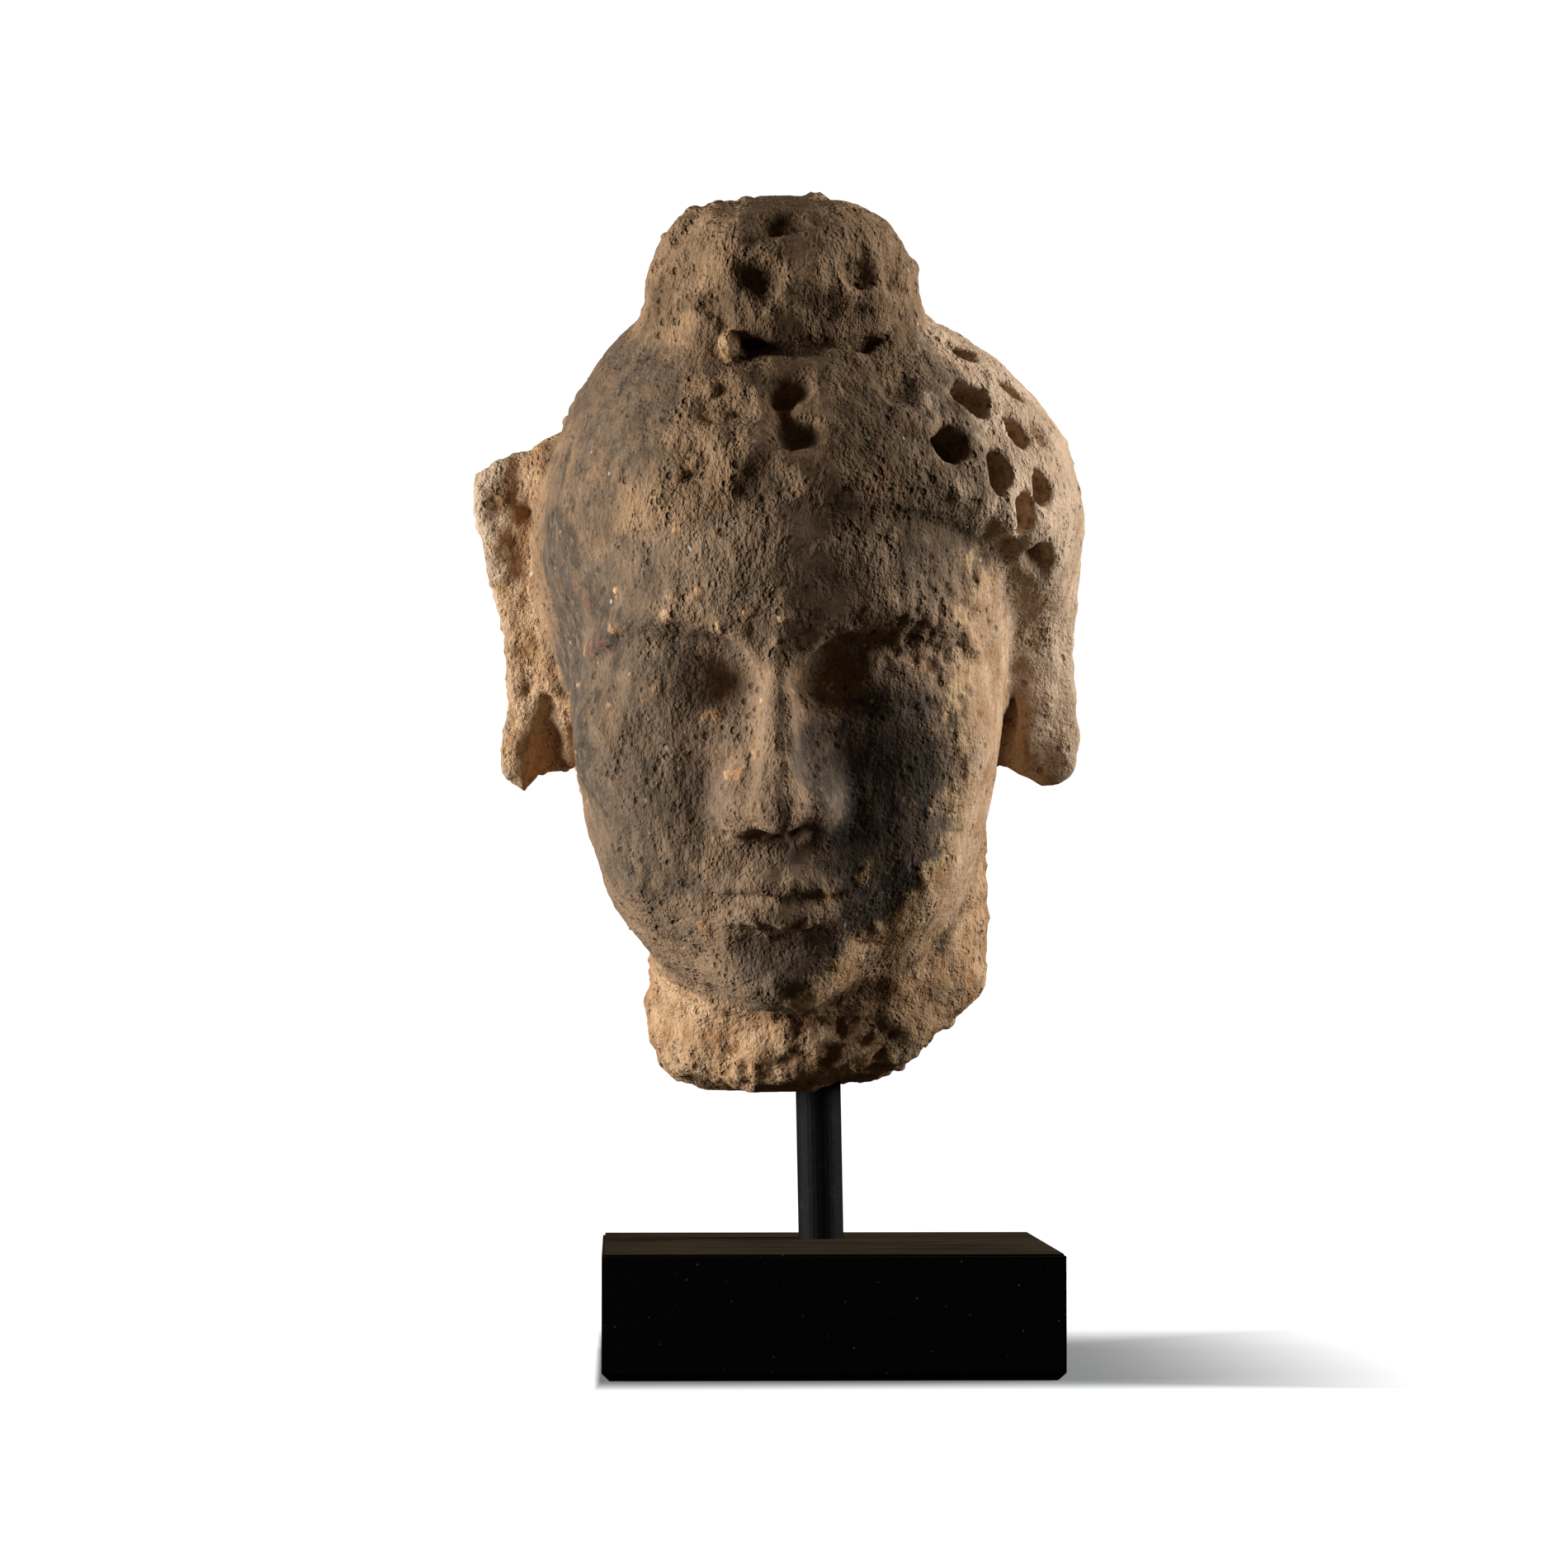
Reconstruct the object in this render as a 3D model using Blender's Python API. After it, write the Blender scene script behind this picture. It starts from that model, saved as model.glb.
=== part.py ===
"""A carved stucco head on its display stand.

The head is one solid: a smooth oval face, a cap of hair bored with small round holes, a flat-topped knot,
long ears and a neck broken off below. It sits on a round steel rod that stands in a square wooden block.

The frame is in metres, +Z up. The origin is the centre of the block's underside and the face looks along -Y.
The head is carved as a field of rounded forms, negative inside, that is turned into a mesh at the end.
"""

import math

import bmesh
import bpy
import numpy as np
from mathutils import Matrix, Vector

# Block
BASE_WIDTH = 0.092
BASE_DEPTH = 0.092
BASE_HEIGHT = 0.025
BASE_FOOT_CHAMFER = 0.0016
BASE_EDGE_ROUND = 0.0005

# Rod, and the blind holes that hold its two ends
ROD_DIAMETER = 0.0095
ROD_SHOWN = 0.0310
ROD_IN_BASE = 0.016
ROD_IN_HEAD = 0.045
ROD_SETBACK = 0.020
ROD_LEAN_DEG = 1.1
ROD_SIDES = 32
FIT_GAP = 0.0003

# Head, from the break of the neck to the top of the knot
HEAD_HEIGHT = 0.1846
HEAD_TILT_DEG = 10.0
HEAD_TURN_DEG = 3.0
HEAD_TRIANGLES = 8800

# The carving is laid out on a head that is CARVED_HEIGHT units tall, so that a unit is about a millimetre.
# Its origin is between the ears, halfway from the chin to the crown.
CARVED_HEIGHT = 184.6
CARVED_FOOT = -93.0
NECK_CENTRE = (8.7, 9.0)
UNIT = HEAD_HEIGHT / CARVED_HEIGHT
CELL = 1.8


# Rounded forms

def lengths(vectors):
    return np.sqrt(np.einsum("ij,ij->i", vectors, vectors))


def ellipsoid(p, centre, radii):
    """About the distance from each point to an ellipsoid."""
    radii = np.array(radii, dtype=p.dtype)
    q = (p - np.array(centre, dtype=p.dtype)) / radii
    near = lengths(q)
    reach = (near + 1e-4) / (lengths(q / radii) + 1e-4 / radii.min())
    return reach * (near - 1.0)


def rounded_rod(p, start, end, start_radius, end_radius):
    """A round bar between two points whose radius changes along it."""
    start, end = np.array(start, dtype=p.dtype), np.array(end, dtype=p.dtype)
    course = end - start
    along = np.clip((p - start) @ course / (course @ course), 0.0, 1.0)
    nearest = start + along[:, None] * course
    return lengths(p - nearest) - start_radius - along * (end_radius - start_radius)


def smooth_line(knots, steps=4):
    """Points along a smooth curve through the knots. The last number of each knot is the bar's radius there."""
    knots = np.array(knots)
    ends = np.vstack((2.0 * knots[0] - knots[1], knots, 2.0 * knots[-1] - knots[-2]))
    line = []
    for before, start, end, after in zip(ends, ends[1:], ends[2:], ends[3:]):
        for t in np.arange(steps) / steps:
            bend = (2.0 * before - 5.0 * start + 4.0 * end - after) * t ** 2
            swing = (3.0 * start - before - 3.0 * end + after) * t ** 3
            line.append(start + 0.5 * ((end - before) * t + bend + swing))
    return line + [knots[-1]]


def bent_rod(p, knots):
    """A round bar bent through the knots, which are points with a radius."""
    line = smooth_line(knots)
    bars = [rounded_rod(p, a[:-1], b[:-1], a[-1], b[-1]) for a, b in zip(line, line[1:])]
    return np.minimum.reduce(bars)


def slab(p, knots, middle, half_thickness, edge_round):
    """A flat plate that faces the front. Its outline is a bent bar through the knots: x, z and radius."""
    side = bent_rod(p[:, [0, 2]], knots) + edge_round
    face = np.abs(p[:, 1] - middle) - half_thickness + edge_round
    outside = np.hypot(np.maximum(side, 0.0), np.maximum(face, 0.0))
    return np.minimum(np.maximum(side, face), 0.0) + outside - edge_round


def add(a, b, softness):
    """Joins two forms with a fillet as wide as softness."""
    h = np.clip(0.5 + 0.5 * (b - a) / softness, 0.0, 1.0)
    return b * (1.0 - h) + a * h - softness * h * (1.0 - h)


def cut(a, b, softness):
    """Takes form b out of form a."""
    return -add(-a, b, softness)


def keep(a, b, softness):
    """What two forms have in common."""
    return -add(-a, -b, softness)


def mirrored(p):
    """The points with those on the left side moved to the right, for a form that is the same on both."""
    q = p.copy()
    q[:, 0] = np.abs(q[:, 0])
    return q


def change_near(p, shape, centre, reach, change):
    """Changes the shape only within reach of a point, which saves time on small forms."""
    close = np.flatnonzero(lengths(p - np.array(centre, dtype=p.dtype)) < reach)
    shape[close] = change(p[close], shape[close])
    return shape


def ripple(p, size):
    """A soft unevenness between about -1 and 1, with hollows and swells about size across."""
    q = p * (2.2 / size)
    first = np.sin(q[:, 0] + 1.3 * np.sin(0.7 * q[:, 1] + 0.9 * q[:, 2]))
    second = np.sin(0.9 * q[:, 1] - 0.5 * q[:, 0] + 1.2 * np.sin(1.1 * q[:, 2] + 2.0))
    third = np.sin(1.1 * q[:, 2] + 0.6 * q[:, 1] + 1.4 * np.sin(0.8 * q[:, 0] + 4.0))
    return (first + second + third) / 3.0


def ramp(value, low, high):
    """0 below low, 1 above high, and a smooth rise between them."""
    t = np.clip((value - low) / (high - low), 0.0, 1.0)
    return t * t * (3.0 - 2.0 * t)


# The head. Each of these takes points in carving units, in the frame of the tilted head.

CHIN = -71.0
CROWN = 71.0
FACE_HEIGHT = CROWN - CHIN
HAIRLINE = CHIN + FACE_HEIGHT * 0.76
BROW_LINE = CHIN + FACE_HEIGHT * 0.58
EYE_LINE = CHIN + FACE_HEIGHT * 0.50
NOSE_LINE = CHIN + FACE_HEIGHT * 0.285
MOUTH_LINE = CHIN + FACE_HEIGHT * 0.19
EYE_WIDTH = FACE_HEIGHT * 0.133


def skull(p):
    cranium = ellipsoid(p, (1.0, 4.0, 18.0), (48.0, 57.0, 57.0))
    front = ellipsoid(p, (0.5, -13.0, -20.0), (43.0, 37.0, 50.0))
    shape = add(cranium, front, 14.0)
    forehead = ellipsoid(p, (0.0, -16.0, 24.0), (39.0, 36.5, 32.0))
    return add(shape, forehead, 10.0)


def cheeks_and_jaw(p, shape):
    q = mirrored(p)
    jaw = ellipsoid(p, (0.0, -17.0, -41.0), (31.5, 31.0, 29.0))
    shape = add(shape, jaw, 12.0)
    chin = ellipsoid(p, (0.0, -40.0, CHIN + 12.5), (12.5, 10.5, 10.5))
    shape = add(shape, chin, 9.0)
    cheekbone = ellipsoid(q, (25.0, -31.5, -15.0), (16.0, 14.0, 14.0))
    shape = add(shape, cheekbone, 10.0)
    cheek = ellipsoid(q, (20.0, -34.0, -34.0), (15.0, 13.5, 17.0))
    shape = add(shape, cheek, 10.0)
    mouth_mound = ellipsoid(p, (0.0, -40.5, MOUTH_LINE + 1.0), (17.0, 13.0, 14.0))
    return add(shape, mouth_mound, 9.0)


def nose(p, shape):
    q = mirrored(p)
    bridge_knots = (
        (0.0, -48.0, EYE_LINE + 12.0, 4.0),
        (0.0, -51.5, EYE_LINE + 2.0, 3.6),
        (0.0, -58.5, NOSE_LINE + 12.0, 4.4),
        (0.0, -60.8, NOSE_LINE + 6.5, 5.6),
    )
    shape = add(shape, bent_rod(p, bridge_knots), 4.5)
    flank = rounded_rod(q, (2.0, -44.0, EYE_LINE + 1.0), (4.5, -50.0, NOSE_LINE + 6.0), 4.0, 7.0)
    shape = add(shape, flank, 5.0)
    wing = ellipsoid(q, (6.8, -52.8, NOSE_LINE + 5.2), (4.8, 7.0, 5.0))
    shape = add(shape, wing, 5.0)
    nostril = ellipsoid(q, (3.6, -57.5, NOSE_LINE - 0.4), (2.0, 3.4, 2.0))
    return cut(shape, nostril, 1.4)


def brows(p, shape):
    q = mirrored(p)
    socket = ellipsoid(q, (19.0, -52.5, EYE_LINE + 3.0), (15.0, 8.0, 8.0))
    shape = cut(shape, socket, 6.0)
    inner_hollow = ellipsoid(q, (8.5, -54.5, EYE_LINE + 0.5), (3.5, 6.0, 6.0))
    shape = cut(shape, inner_hollow, 5.0)
    arch_knots = (
        (3.5, -51.0, BROW_LINE - 7.0, 1.6),
        (10.0, -50.2, BROW_LINE - 0.5, 2.2),
        (21.0, -46.6, BROW_LINE + 2.2, 2.4),
        (31.0, -39.5, BROW_LINE - 0.8, 2.2),
        (38.0, -31.0, BROW_LINE - 8.0, 1.6),
    )
    return add(shape, bent_rod(q, arch_knots), 4.0)


def eyes(p, shape):
    """Heavy lids that are almost closed over a full eyeball."""
    q = mirrored(p)
    centre = np.array((19.0, -35.0, EYE_LINE - 3.0))
    reach = (q[:, 0] - centre[0]) / EYE_WIDTH
    ball = ellipsoid(q, centre, (15.0, 12.2, 10.0))
    shape = add(shape, ball, 2.0)
    lash_line = EYE_LINE - 6.0 + 7.0 * reach ** 2 + 1.2 * reach
    upper = ellipsoid(q, centre, (16.4, 13.9, 11.7))
    upper = keep(upper, lash_line - q[:, 2], 0.6)
    shape = add(shape, upper, 2.0)
    lower_line = EYE_LINE - 7.6 + 5.2 * reach ** 2 + 1.2 * reach
    lower = ellipsoid(q, centre, (16.0, 13.2, 11.6))
    lower = keep(lower, q[:, 2] - lower_line, 0.6)
    shape = add(shape, lower, 2.6)
    crease_knots = (
        (8.8, -47.6, EYE_LINE - 0.5, 0.4),
        (13.0, -49.2, EYE_LINE + 4.2, 0.9),
        (20.0, -49.0, EYE_LINE + 6.2, 1.0),
        (27.5, -45.0, EYE_LINE + 4.2, 0.8),
        (31.5, -42.0, EYE_LINE + 1.8, 0.2),
    )
    return cut(shape, bent_rod(q, crease_knots), 1.6)


def mouth(p, shape):
    q = mirrored(p)
    upper_knots = (
        (0.0, -54.8, MOUTH_LINE + 2.5, 2.3),
        (4.0, -54.4, MOUTH_LINE + 3.2, 2.5),
        (9.5, -51.6, MOUTH_LINE + 2.0, 2.0),
        (15.0, -46.6, MOUTH_LINE + 0.8, 0.8),
    )
    shape = add(shape, bent_rod(q, upper_knots), 2.0)
    lower_knots = (
        (0.0, -53.6, MOUTH_LINE - 3.8, 3.3),
        (6.0, -52.3, MOUTH_LINE - 3.1, 2.9),
        (13.5, -47.0, MOUTH_LINE - 0.4, 1.0),
    )
    shape = add(shape, bent_rod(q, lower_knots), 2.2)
    parting_knots = (
        (0.0, -57.6, MOUTH_LINE - 0.5, 0.9),
        (4.0, -56.6, MOUTH_LINE - 0.1, 0.9),
        (9.5, -53.0, MOUTH_LINE - 0.2, 0.8),
        (14.0, -49.6, MOUTH_LINE + 0.6, 0.4),
    )
    shape = cut(shape, bent_rod(q, parting_knots), 1.2)
    under_lip = ellipsoid(p, (0.0, -55.5, MOUTH_LINE - 11.0), (11.0, 5.5, 3.6))
    shape = cut(shape, under_lip, 5.0)
    lip_groove = rounded_rod(p, (0.0, -58.2, NOSE_LINE - 2.5), (0.0, -57.8, MOUTH_LINE + 6.5), 1.2, 2.0)
    return cut(shape, lip_groove, 2.2)


def face(p):
    shape = cheeks_and_jaw(p, skull(p))
    shape = change_near(p, shape, (0.0, -52.0, -10.0), 36.0, nose)
    shape = change_near(p, shape, (0.0, -40.0, EYE_LINE + 4.0), 54.0, brows)
    shape = change_near(p, shape, (0.0, -40.0, EYE_LINE - 3.0), 48.0, eyes)
    return change_near(p, shape, (0.0, -50.0, MOUTH_LINE), 28.0, mouth)


# Hair. The cap is fuller on the +X side and worn smooth on the other.
HAIR_CENTRE = np.array((3.0, 4.0, 18.0))
KNOT_CENTRE = np.array((0.2, -8.0, 74.0))


def hair_form(p):
    """The whole rounded mass that the cap is taken from."""
    mass = ellipsoid(p, (2.0, 4.0, 17.0), (51.5, 60.5, 60.0))
    crown = ellipsoid(p, (-4.5, 6.0, 33.0), (38.0, 44.0, 41.5))
    swell = ellipsoid(p, (16.5, 2.0, 28.0), (45.5, 46.0, 39.6))
    return add(add(mass, crown, 8.0), swell, 8.0)


def hair(p, shape):
    cap = hair_form(p)
    worn = 1.0 - ramp(p[:, 0], -34.0, 8.0)
    over_brow = p[:, 2] - HAIRLINE + 0.004 * p[:, 0] ** 2 + 0.6 * ripple(p, 14.0)
    over_temple = 0.74 * (p[:, 1] + 31.0) + 0.67 * (p[:, 2] - HAIRLINE + 7.0)
    over_nape = 0.35 * p[:, 1] + 0.94 * (p[:, 2] + 24.0)
    over_edge = -add(-over_brow, -over_temple, 8.0)
    cap = keep(cap, -over_edge, 6.0 + 9.0 * worn)
    cap = keep(cap, -over_nape, 6.0)
    return add(shape, cap, 5.0 + 7.5 * worn)


def knot_form(p):
    bun = ellipsoid(p, KNOT_CENTRE, (27.6, 27.5, 25.0))
    return keep(bun, p[:, 2] - 95.0, 9.0)


def knot(p, shape):
    return add(shape, knot_form(p), 1.2)


def met(form, start, end):
    """The first point of a form on the straight way from start to end."""
    start, end = np.array(start), np.array(end)
    way = start + np.linspace(0.0, 1.0, 500)[:, None] * (end - start)
    return way[np.argmax(form(way) < 0.0)]


def hole(p, shape, at, centre, width, height, depth):
    """A blunt six-sided hole in the surface, bored towards the centre of its form. A shallow one has a worn rim."""
    inward = centre - at
    inward /= np.linalg.norm(inward)
    side = np.cross(inward, (0.0, 0.0, 1.0))
    side /= np.linalg.norm(side)
    axes = np.array((side, np.cross(side, inward), inward))

    def bore(q, here):
        local = (q - at) @ axes.T
        across = np.abs(local[:, 0]) * 2.0 / width
        slant = 0.5 * across + 0.87 * np.abs(local[:, 1]) * 2.0 / height
        six_sided = (across ** 6 + slant ** 6) ** (1.0 / 6.0)
        bowl = np.hypot(six_sided, local[:, 2] / depth) - 1.0
        return cut(here, bowl * min(width / 2.0, depth), 0.6 + 4.0 / depth)

    return change_near(p, shape, at, depth + 8.0, bore)


# Holes that show from the front: x, z, width, height, depth
FRONT_HOLES = (
    (37.0, 63.1, 10.0, 6.5, 8.0),
    (38.9, 54.5, 10.0, 8.5, 8.5),
    (46.6, 55.4, 7.5, 8.0, 7.0),
    (34.3, 45.3, 8.5, 9.0, 7.0),
    (44.1, 40.0, 7.0, 9.5, 8.0),
    (48.1, 47.2, 6.5, 7.5, 7.0),
    (53.1, 36.3, 7.0, 8.0, 7.0),
    (50.0, 31.5, 6.5, 8.0, 6.0),
    (51.8, 20.7, 6.5, 8.0, 5.0),
    (52.6, 46.5, 5.0, 6.5, 4.0),
    (24.0, 56.7, 7.5, 7.0, 3.2),
    (3.1, 56.2, 8.5, 8.0, 3.4),
    (3.6, 49.4, 8.5, 8.0, 3.6),
    (-10.4, 53.8, 10.0, 8.5, 2.4),
    (-2.0, 39.8, 9.0, 7.0, 1.8),
    (-16.9, 42.6, 10.0, 8.5, 1.8),
)
KNOT_HOLES = (
    (0.6, 89.8, 9.5, 7.0, 4.5),
    (-3.6, 78.6, 8.5, 8.5, 3.8),
    (15.8, 81.1, 8.0, 8.0, 3.8),
    (-19.0, 80.1, 7.0, 7.5, 2.4),
    (-11.4, 72.6, 8.0, 6.5, 2.4),
    (10.9, 71.5, 13.0, 5.0, 1.8),
)
# Rows of holes round the side and the back: height, first and last bearing in degrees from the front, count
SIDE_ROWS = (
    (64.0, 105.0, 255.0, 5),
    (50.0, 92.0, 262.0, 8),
    (35.0, 84.0, 258.0, 9),
    (20.0, 96.0, 254.0, 8),
    (5.0, 112.0, 246.0, 6),
)
KNOT_ROWS = (
    (89.0, 80.0, 300.0, 5),
    (79.0, 60.0, 290.0, 6),
)
SIDE_HOLE = (7.0, 8.0, 6.5)
KNOT_SIDE_HOLE = (7.0, 7.5, 3.0)


def rows(p, shape, form, centre, bearings, size):
    """Holes in level rows round a form, shallower on the worn -X side."""
    width, height, depth = size
    for z, first, last, count in bearings:
        axis = np.array((centre[0], centre[1], z))
        for bearing in np.radians(np.linspace(first, last, count)):
            at = met(form, axis + 90.0 * np.array((np.sin(bearing), -np.cos(bearing), 0.0)), axis)
            worn = 1.0 - 0.6 * ramp(-at[0], 0.0, 40.0)
            shape = hole(p, shape, at, centre, width, height, depth * worn)
    return shape


def bored(p, shape):
    """The holes of the hair and the knot."""
    for form, centre, holes in ((hair_form, HAIR_CENTRE, FRONT_HOLES), (knot_form, KNOT_CENTRE, KNOT_HOLES)):
        for x, z, width, height, depth in holes:
            at = met(form, (x, -75.0, z), (x, 25.0, z))
            shape = hole(p, shape, at, centre, width, height, depth)
    shape = rows(p, shape, hair_form, HAIR_CENTRE, SIDE_ROWS, SIDE_HOLE)
    return rows(p, shape, knot_form, KNOT_CENTRE, KNOT_ROWS, KNOT_SIDE_HOLE)


def ears(p, shape):
    """Long ears. The one on the -X side stands out further and its lobe is hollow."""
    worn_knots = (
        (-44.0, 36.0, 6.0),
        (-58.0, 32.5, 5.0),
        (-53.5, 14.0, 6.5),
        (-49.5, -4.0, 7.0),
        (-50.0, -24.0, 7.5),
    )
    corner_knots = (
        (-50.0, 35.5, 3.5),
        (-60.5, 33.0, 3.5),
    )
    root_knots = (
        (-46.0, 34.0, 6.0),
        (-45.0, 14.0, 6.0),
        (-44.0, -10.0, 5.0),
    )
    full_knots = (
        (53.0, 30.0, 9.5),
        (53.0, 12.0, 9.0),
        (52.6, -4.0, 8.6),
        (54.2, -17.0, 8.3),
    )
    lobe_knots = (
        (52.0, -14.0, 6.0),
        (57.0, -23.5, 5.0),
    )
    worn_ear = add(slab(p, worn_knots, 9.0, 10.0, 3.0), slab(p, corner_knots, 8.0, 8.5, 2.0), 2.0)
    worn_ear = add(worn_ear, slab(p, root_knots, 9.0, 8.5, 2.0), 3.0)
    full_root = rounded_rod(p, (49.0, -6.0, 24.0), (51.5, -1.0, -10.0), 12.0, 8.0)
    full_ear = add(slab(p, full_knots, 6.0, 11.5, 4.0), slab(p, lobe_knots, 3.0, 8.0, 3.0), 3.0)
    full_ear = add(full_ear, full_root, 5.0)
    back_edge = 0.97 * (p[:, 1] - 18.0) - 0.24 * (p[:, 2] - 24.0)
    shape = add(shape, keep(worn_ear, back_edge, 5.0), 1.5)
    shape = add(shape, keep(full_ear, back_edge, 5.0), 4.0)

    lobe_hollow = rounded_rod(p, (-48.3, -3.0, -12.0), (-47.3, 0.5, -29.0), 2.2, 5.5)
    shape = cut(shape, lobe_hollow, 1.2)
    nick = rounded_rod(p, (-55.5, -1.5, -12.0), (-56.5, -1.0, -17.0), 1.5, 2.2)
    shape = cut(shape, nick, 1.0)
    furrow_knots = (
        (46.5, -6.0, 18.0, 1.6),
        (48.5, -7.0, 0.0, 2.0),
        (48.0, -7.0, -14.0, 2.2),
        (46.5, -6.0, -26.0, 2.4),
    )
    shape = cut(shape, bent_rod(p, furrow_knots), 2.5)
    worn_shell_knots = (
        (-67.0, 9.0, 25.0, 5.5),
        (-63.5, 8.0, 8.0, 5.0),
        (-60.0, 6.0, -8.0, 4.0),
    )
    full_shell_knots = (
        (67.5, 6.0, 12.0, 5.5),
        (67.0, 5.0, -1.0, 5.5),
        (68.0, 3.0, -12.0, 4.5),
    )
    shape = cut(shape, bent_rod(p, worn_shell_knots), 2.0)
    return cut(shape, bent_rod(p, full_shell_knots), 2.0)


def neck(p):
    """A stump with a rough, rounded break. It stands upright whatever the tilt of the head."""
    x, y = NECK_CENTRE
    across = np.hypot((p[:, 0] - x) / 35.0, (p[:, 1] - y) / 31.0)
    rough = ripple(p, 9.0)
    side = (across - 1.0) * 32.0 + 0.7 * rough * ramp(-p[:, 2], 60.0, 75.0)
    stump = keep(side, CARVED_FOOT - p[:, 2] + 1.2 + 1.2 * rough, 12.0)
    stump = keep(stump, p[:, 2] + 20.0, 4.0)
    chip = 0.66 * (p[:, 0] - 37.0) - 0.75 * (p[:, 2] + 77.0) + 1.0 * rough
    return keep(stump, chip, 3.0)


HEAD_OFFSET = np.array((1.0, -3.0, -1.0))


def tilted(p):
    """Points of the upright frame as the tilted and turned head sees them."""
    turn = Matrix.Rotation(math.radians(-HEAD_TURN_DEG), 3, "Z")
    tilt = Matrix.Rotation(math.radians(HEAD_TILT_DEG), 3, "X")
    return (p - HEAD_OFFSET) @ np.array(turn @ tilt)


def head_field(p):
    """The whole head, in carving units: negative inside, positive outside."""
    q = tilted(p)
    shape = face(q)
    shape = hair(q, shape)
    shape = knot(q, shape)
    shape = add(shape, neck(p), 6.0)
    shape = ears(p, shape)
    shape = bored(q, shape)
    return np.maximum(shape, CARVED_FOOT - p[:, 2])


# From a field to a mesh

def sampled(field, low, cell, counts):
    """The field at every corner of a grid. Far from the surface, one reading serves a block of corners."""
    block = 4
    block_counts = [-(-n // block) for n in counts]
    axes = [low[a] + cell * (block * np.arange(block_counts[a]) + (block - 1) / 2.0) for a in range(3)]
    centres = np.stack(np.meshgrid(*axes, indexing="ij"), axis=-1).reshape(-1, 3)
    values = field(centres).reshape(block_counts)
    for a in range(3):
        values = np.repeat(values, block, axis=a)
    values = values[: counts[0], : counts[1], : counts[2]].copy()
    near = np.argwhere(np.abs(values) < cell * block * 1.5)
    values[tuple(near.T)] = field(np.array(low) + near * cell)
    return values


CORNERS = [(i, j, k) for i in (0, 1) for j in (0, 1) for k in (0, 1)]
# The corners of each side of a grid cell, as places in CORNERS
SIDES = [[n for n, corner in enumerate(CORNERS) if corner[axis] == s] for axis in range(3) for s in (0, 1)]


def crossed_cells(values):
    """The cells that the surface passes through."""
    inside = values < 0.0
    cells = [n - 1 for n in values.shape]
    filled = sum(inside[tuple(slice(c, c + n) for c, n in zip(corner, cells))].astype(int) for corner in CORNERS)
    return np.argwhere((filled > 0) & (filled < 8))


def one_skin(values, cell):
    """Fills the cells in which the form would only touch itself, along an edge or at a corner."""
    values = values.copy()
    while True:
        crossed = crossed_cells(values)
        corner = np.stack([values[tuple((crossed + c).T)] < 0.0 for c in CORNERS])
        pinched = np.zeros(len(crossed), dtype=bool)
        for a, b, c, d in SIDES:
            pinched |= (corner[a] == corner[d]) & (corner[b] == corner[c]) & (corner[a] != corner[b])
        for n in range(4):
            alone = (corner[n] == corner[7 - n]) & (corner.sum(axis=0) == np.where(corner[n], 2, 6))
            pinched |= alone
        if not pinched.any():
            return values
        for c in CORNERS:
            place = tuple((crossed[pinched] + c).T)
            values[place] = np.minimum(values[place], -0.05 * cell)


def net(values, low, cell):
    """Vertices and four-sided faces of the surface where the sampled field is zero."""
    inside = values < 0.0
    crossed = crossed_cells(values)
    index = np.full(values.shape, -1, dtype=np.int64)
    index[tuple(crossed.T)] = np.arange(len(crossed))
    total = np.zeros((len(crossed), 3))
    hits = np.zeros(len(crossed))
    for start in CORNERS:
        for axis in range(3):
            if start[axis]:
                continue
            end = tuple(c + (a == axis) for a, c in enumerate(start))
            v0 = values[tuple((crossed + start).T)]
            v1 = values[tuple((crossed + end).T)]
            hit = (v0 < 0.0) != (v1 < 0.0)
            share = np.where(hit, v0 / np.where(hit, v0 - v1, 1.0), 0.0)
            point = np.array(start) + share[:, None] * (np.array(end) - np.array(start))
            total += np.where(hit[:, None], point, 0.0)
            hits += hit
    vertices = np.array(low) + cell * (crossed + total / hits[:, None])
    faces = []
    for axis in range(3):
        step = np.eye(3, dtype=int)
        u, v = step[(axis + 1) % 3], step[(axis + 2) % 3]
        first = np.argwhere(np.diff(inside.astype(np.int8), axis=axis) != 0)
        goes_in = inside[tuple((first + step[axis]).T)]
        ring = [index[tuple((first - a * u - b * v).T)] for a, b in ((0, 0), (1, 0), (1, 1), (0, 1))]
        quads = np.stack(ring, axis=1)
        faces.append(np.where(goes_in[:, None], quads, quads[:, ::-1]))
    return vertices, np.concatenate(faces)


def largest_piece(vertices, faces):
    """Leaves out specks and sealed hollows, which no face joins to the rest."""
    label = np.arange(len(vertices))
    while True:
        joined = label.copy()
        np.minimum.at(joined, faces.ravel(), np.repeat(label[faces].min(axis=1), 4))
        joined = joined[joined]
        if (joined == label).all():
            break
        label = joined
    kept = label == np.bincount(label).argmax()
    number = np.cumsum(kept) - 1
    return vertices[kept], number[faces[kept[faces[:, 0]]]]


def settled(field, points, rounds=2):
    """Moves points onto the surface of the field."""
    nudge = 0.05
    for _ in range(rounds):
        value = field(points)
        slope = np.stack(
            [(field(points + nudge * axis) - value) / nudge for axis in np.eye(3)], axis=1
        )
        size = np.maximum((slope ** 2).sum(axis=1), 0.25)
        points = points - np.clip(value / size, -1.0, 1.0)[:, None] * slope
    return points


def head_mesh(cell):
    """The head in carving units, as vertices and four-sided faces."""
    low = (-70.0, -78.0, CARVED_FOOT - 2.0 * cell)
    high = (74.0, 72.0, CARVED_FOOT + CARVED_HEIGHT + 8.0)
    counts = [int(math.ceil((b - a) / cell)) + 1 for a, b in zip(low, high)]
    values = one_skin(sampled(head_field, low, cell, counts), cell)
    vertices, faces = largest_piece(*net(values, low, cell))
    return settled(head_field, vertices), faces


# Blender objects

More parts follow.
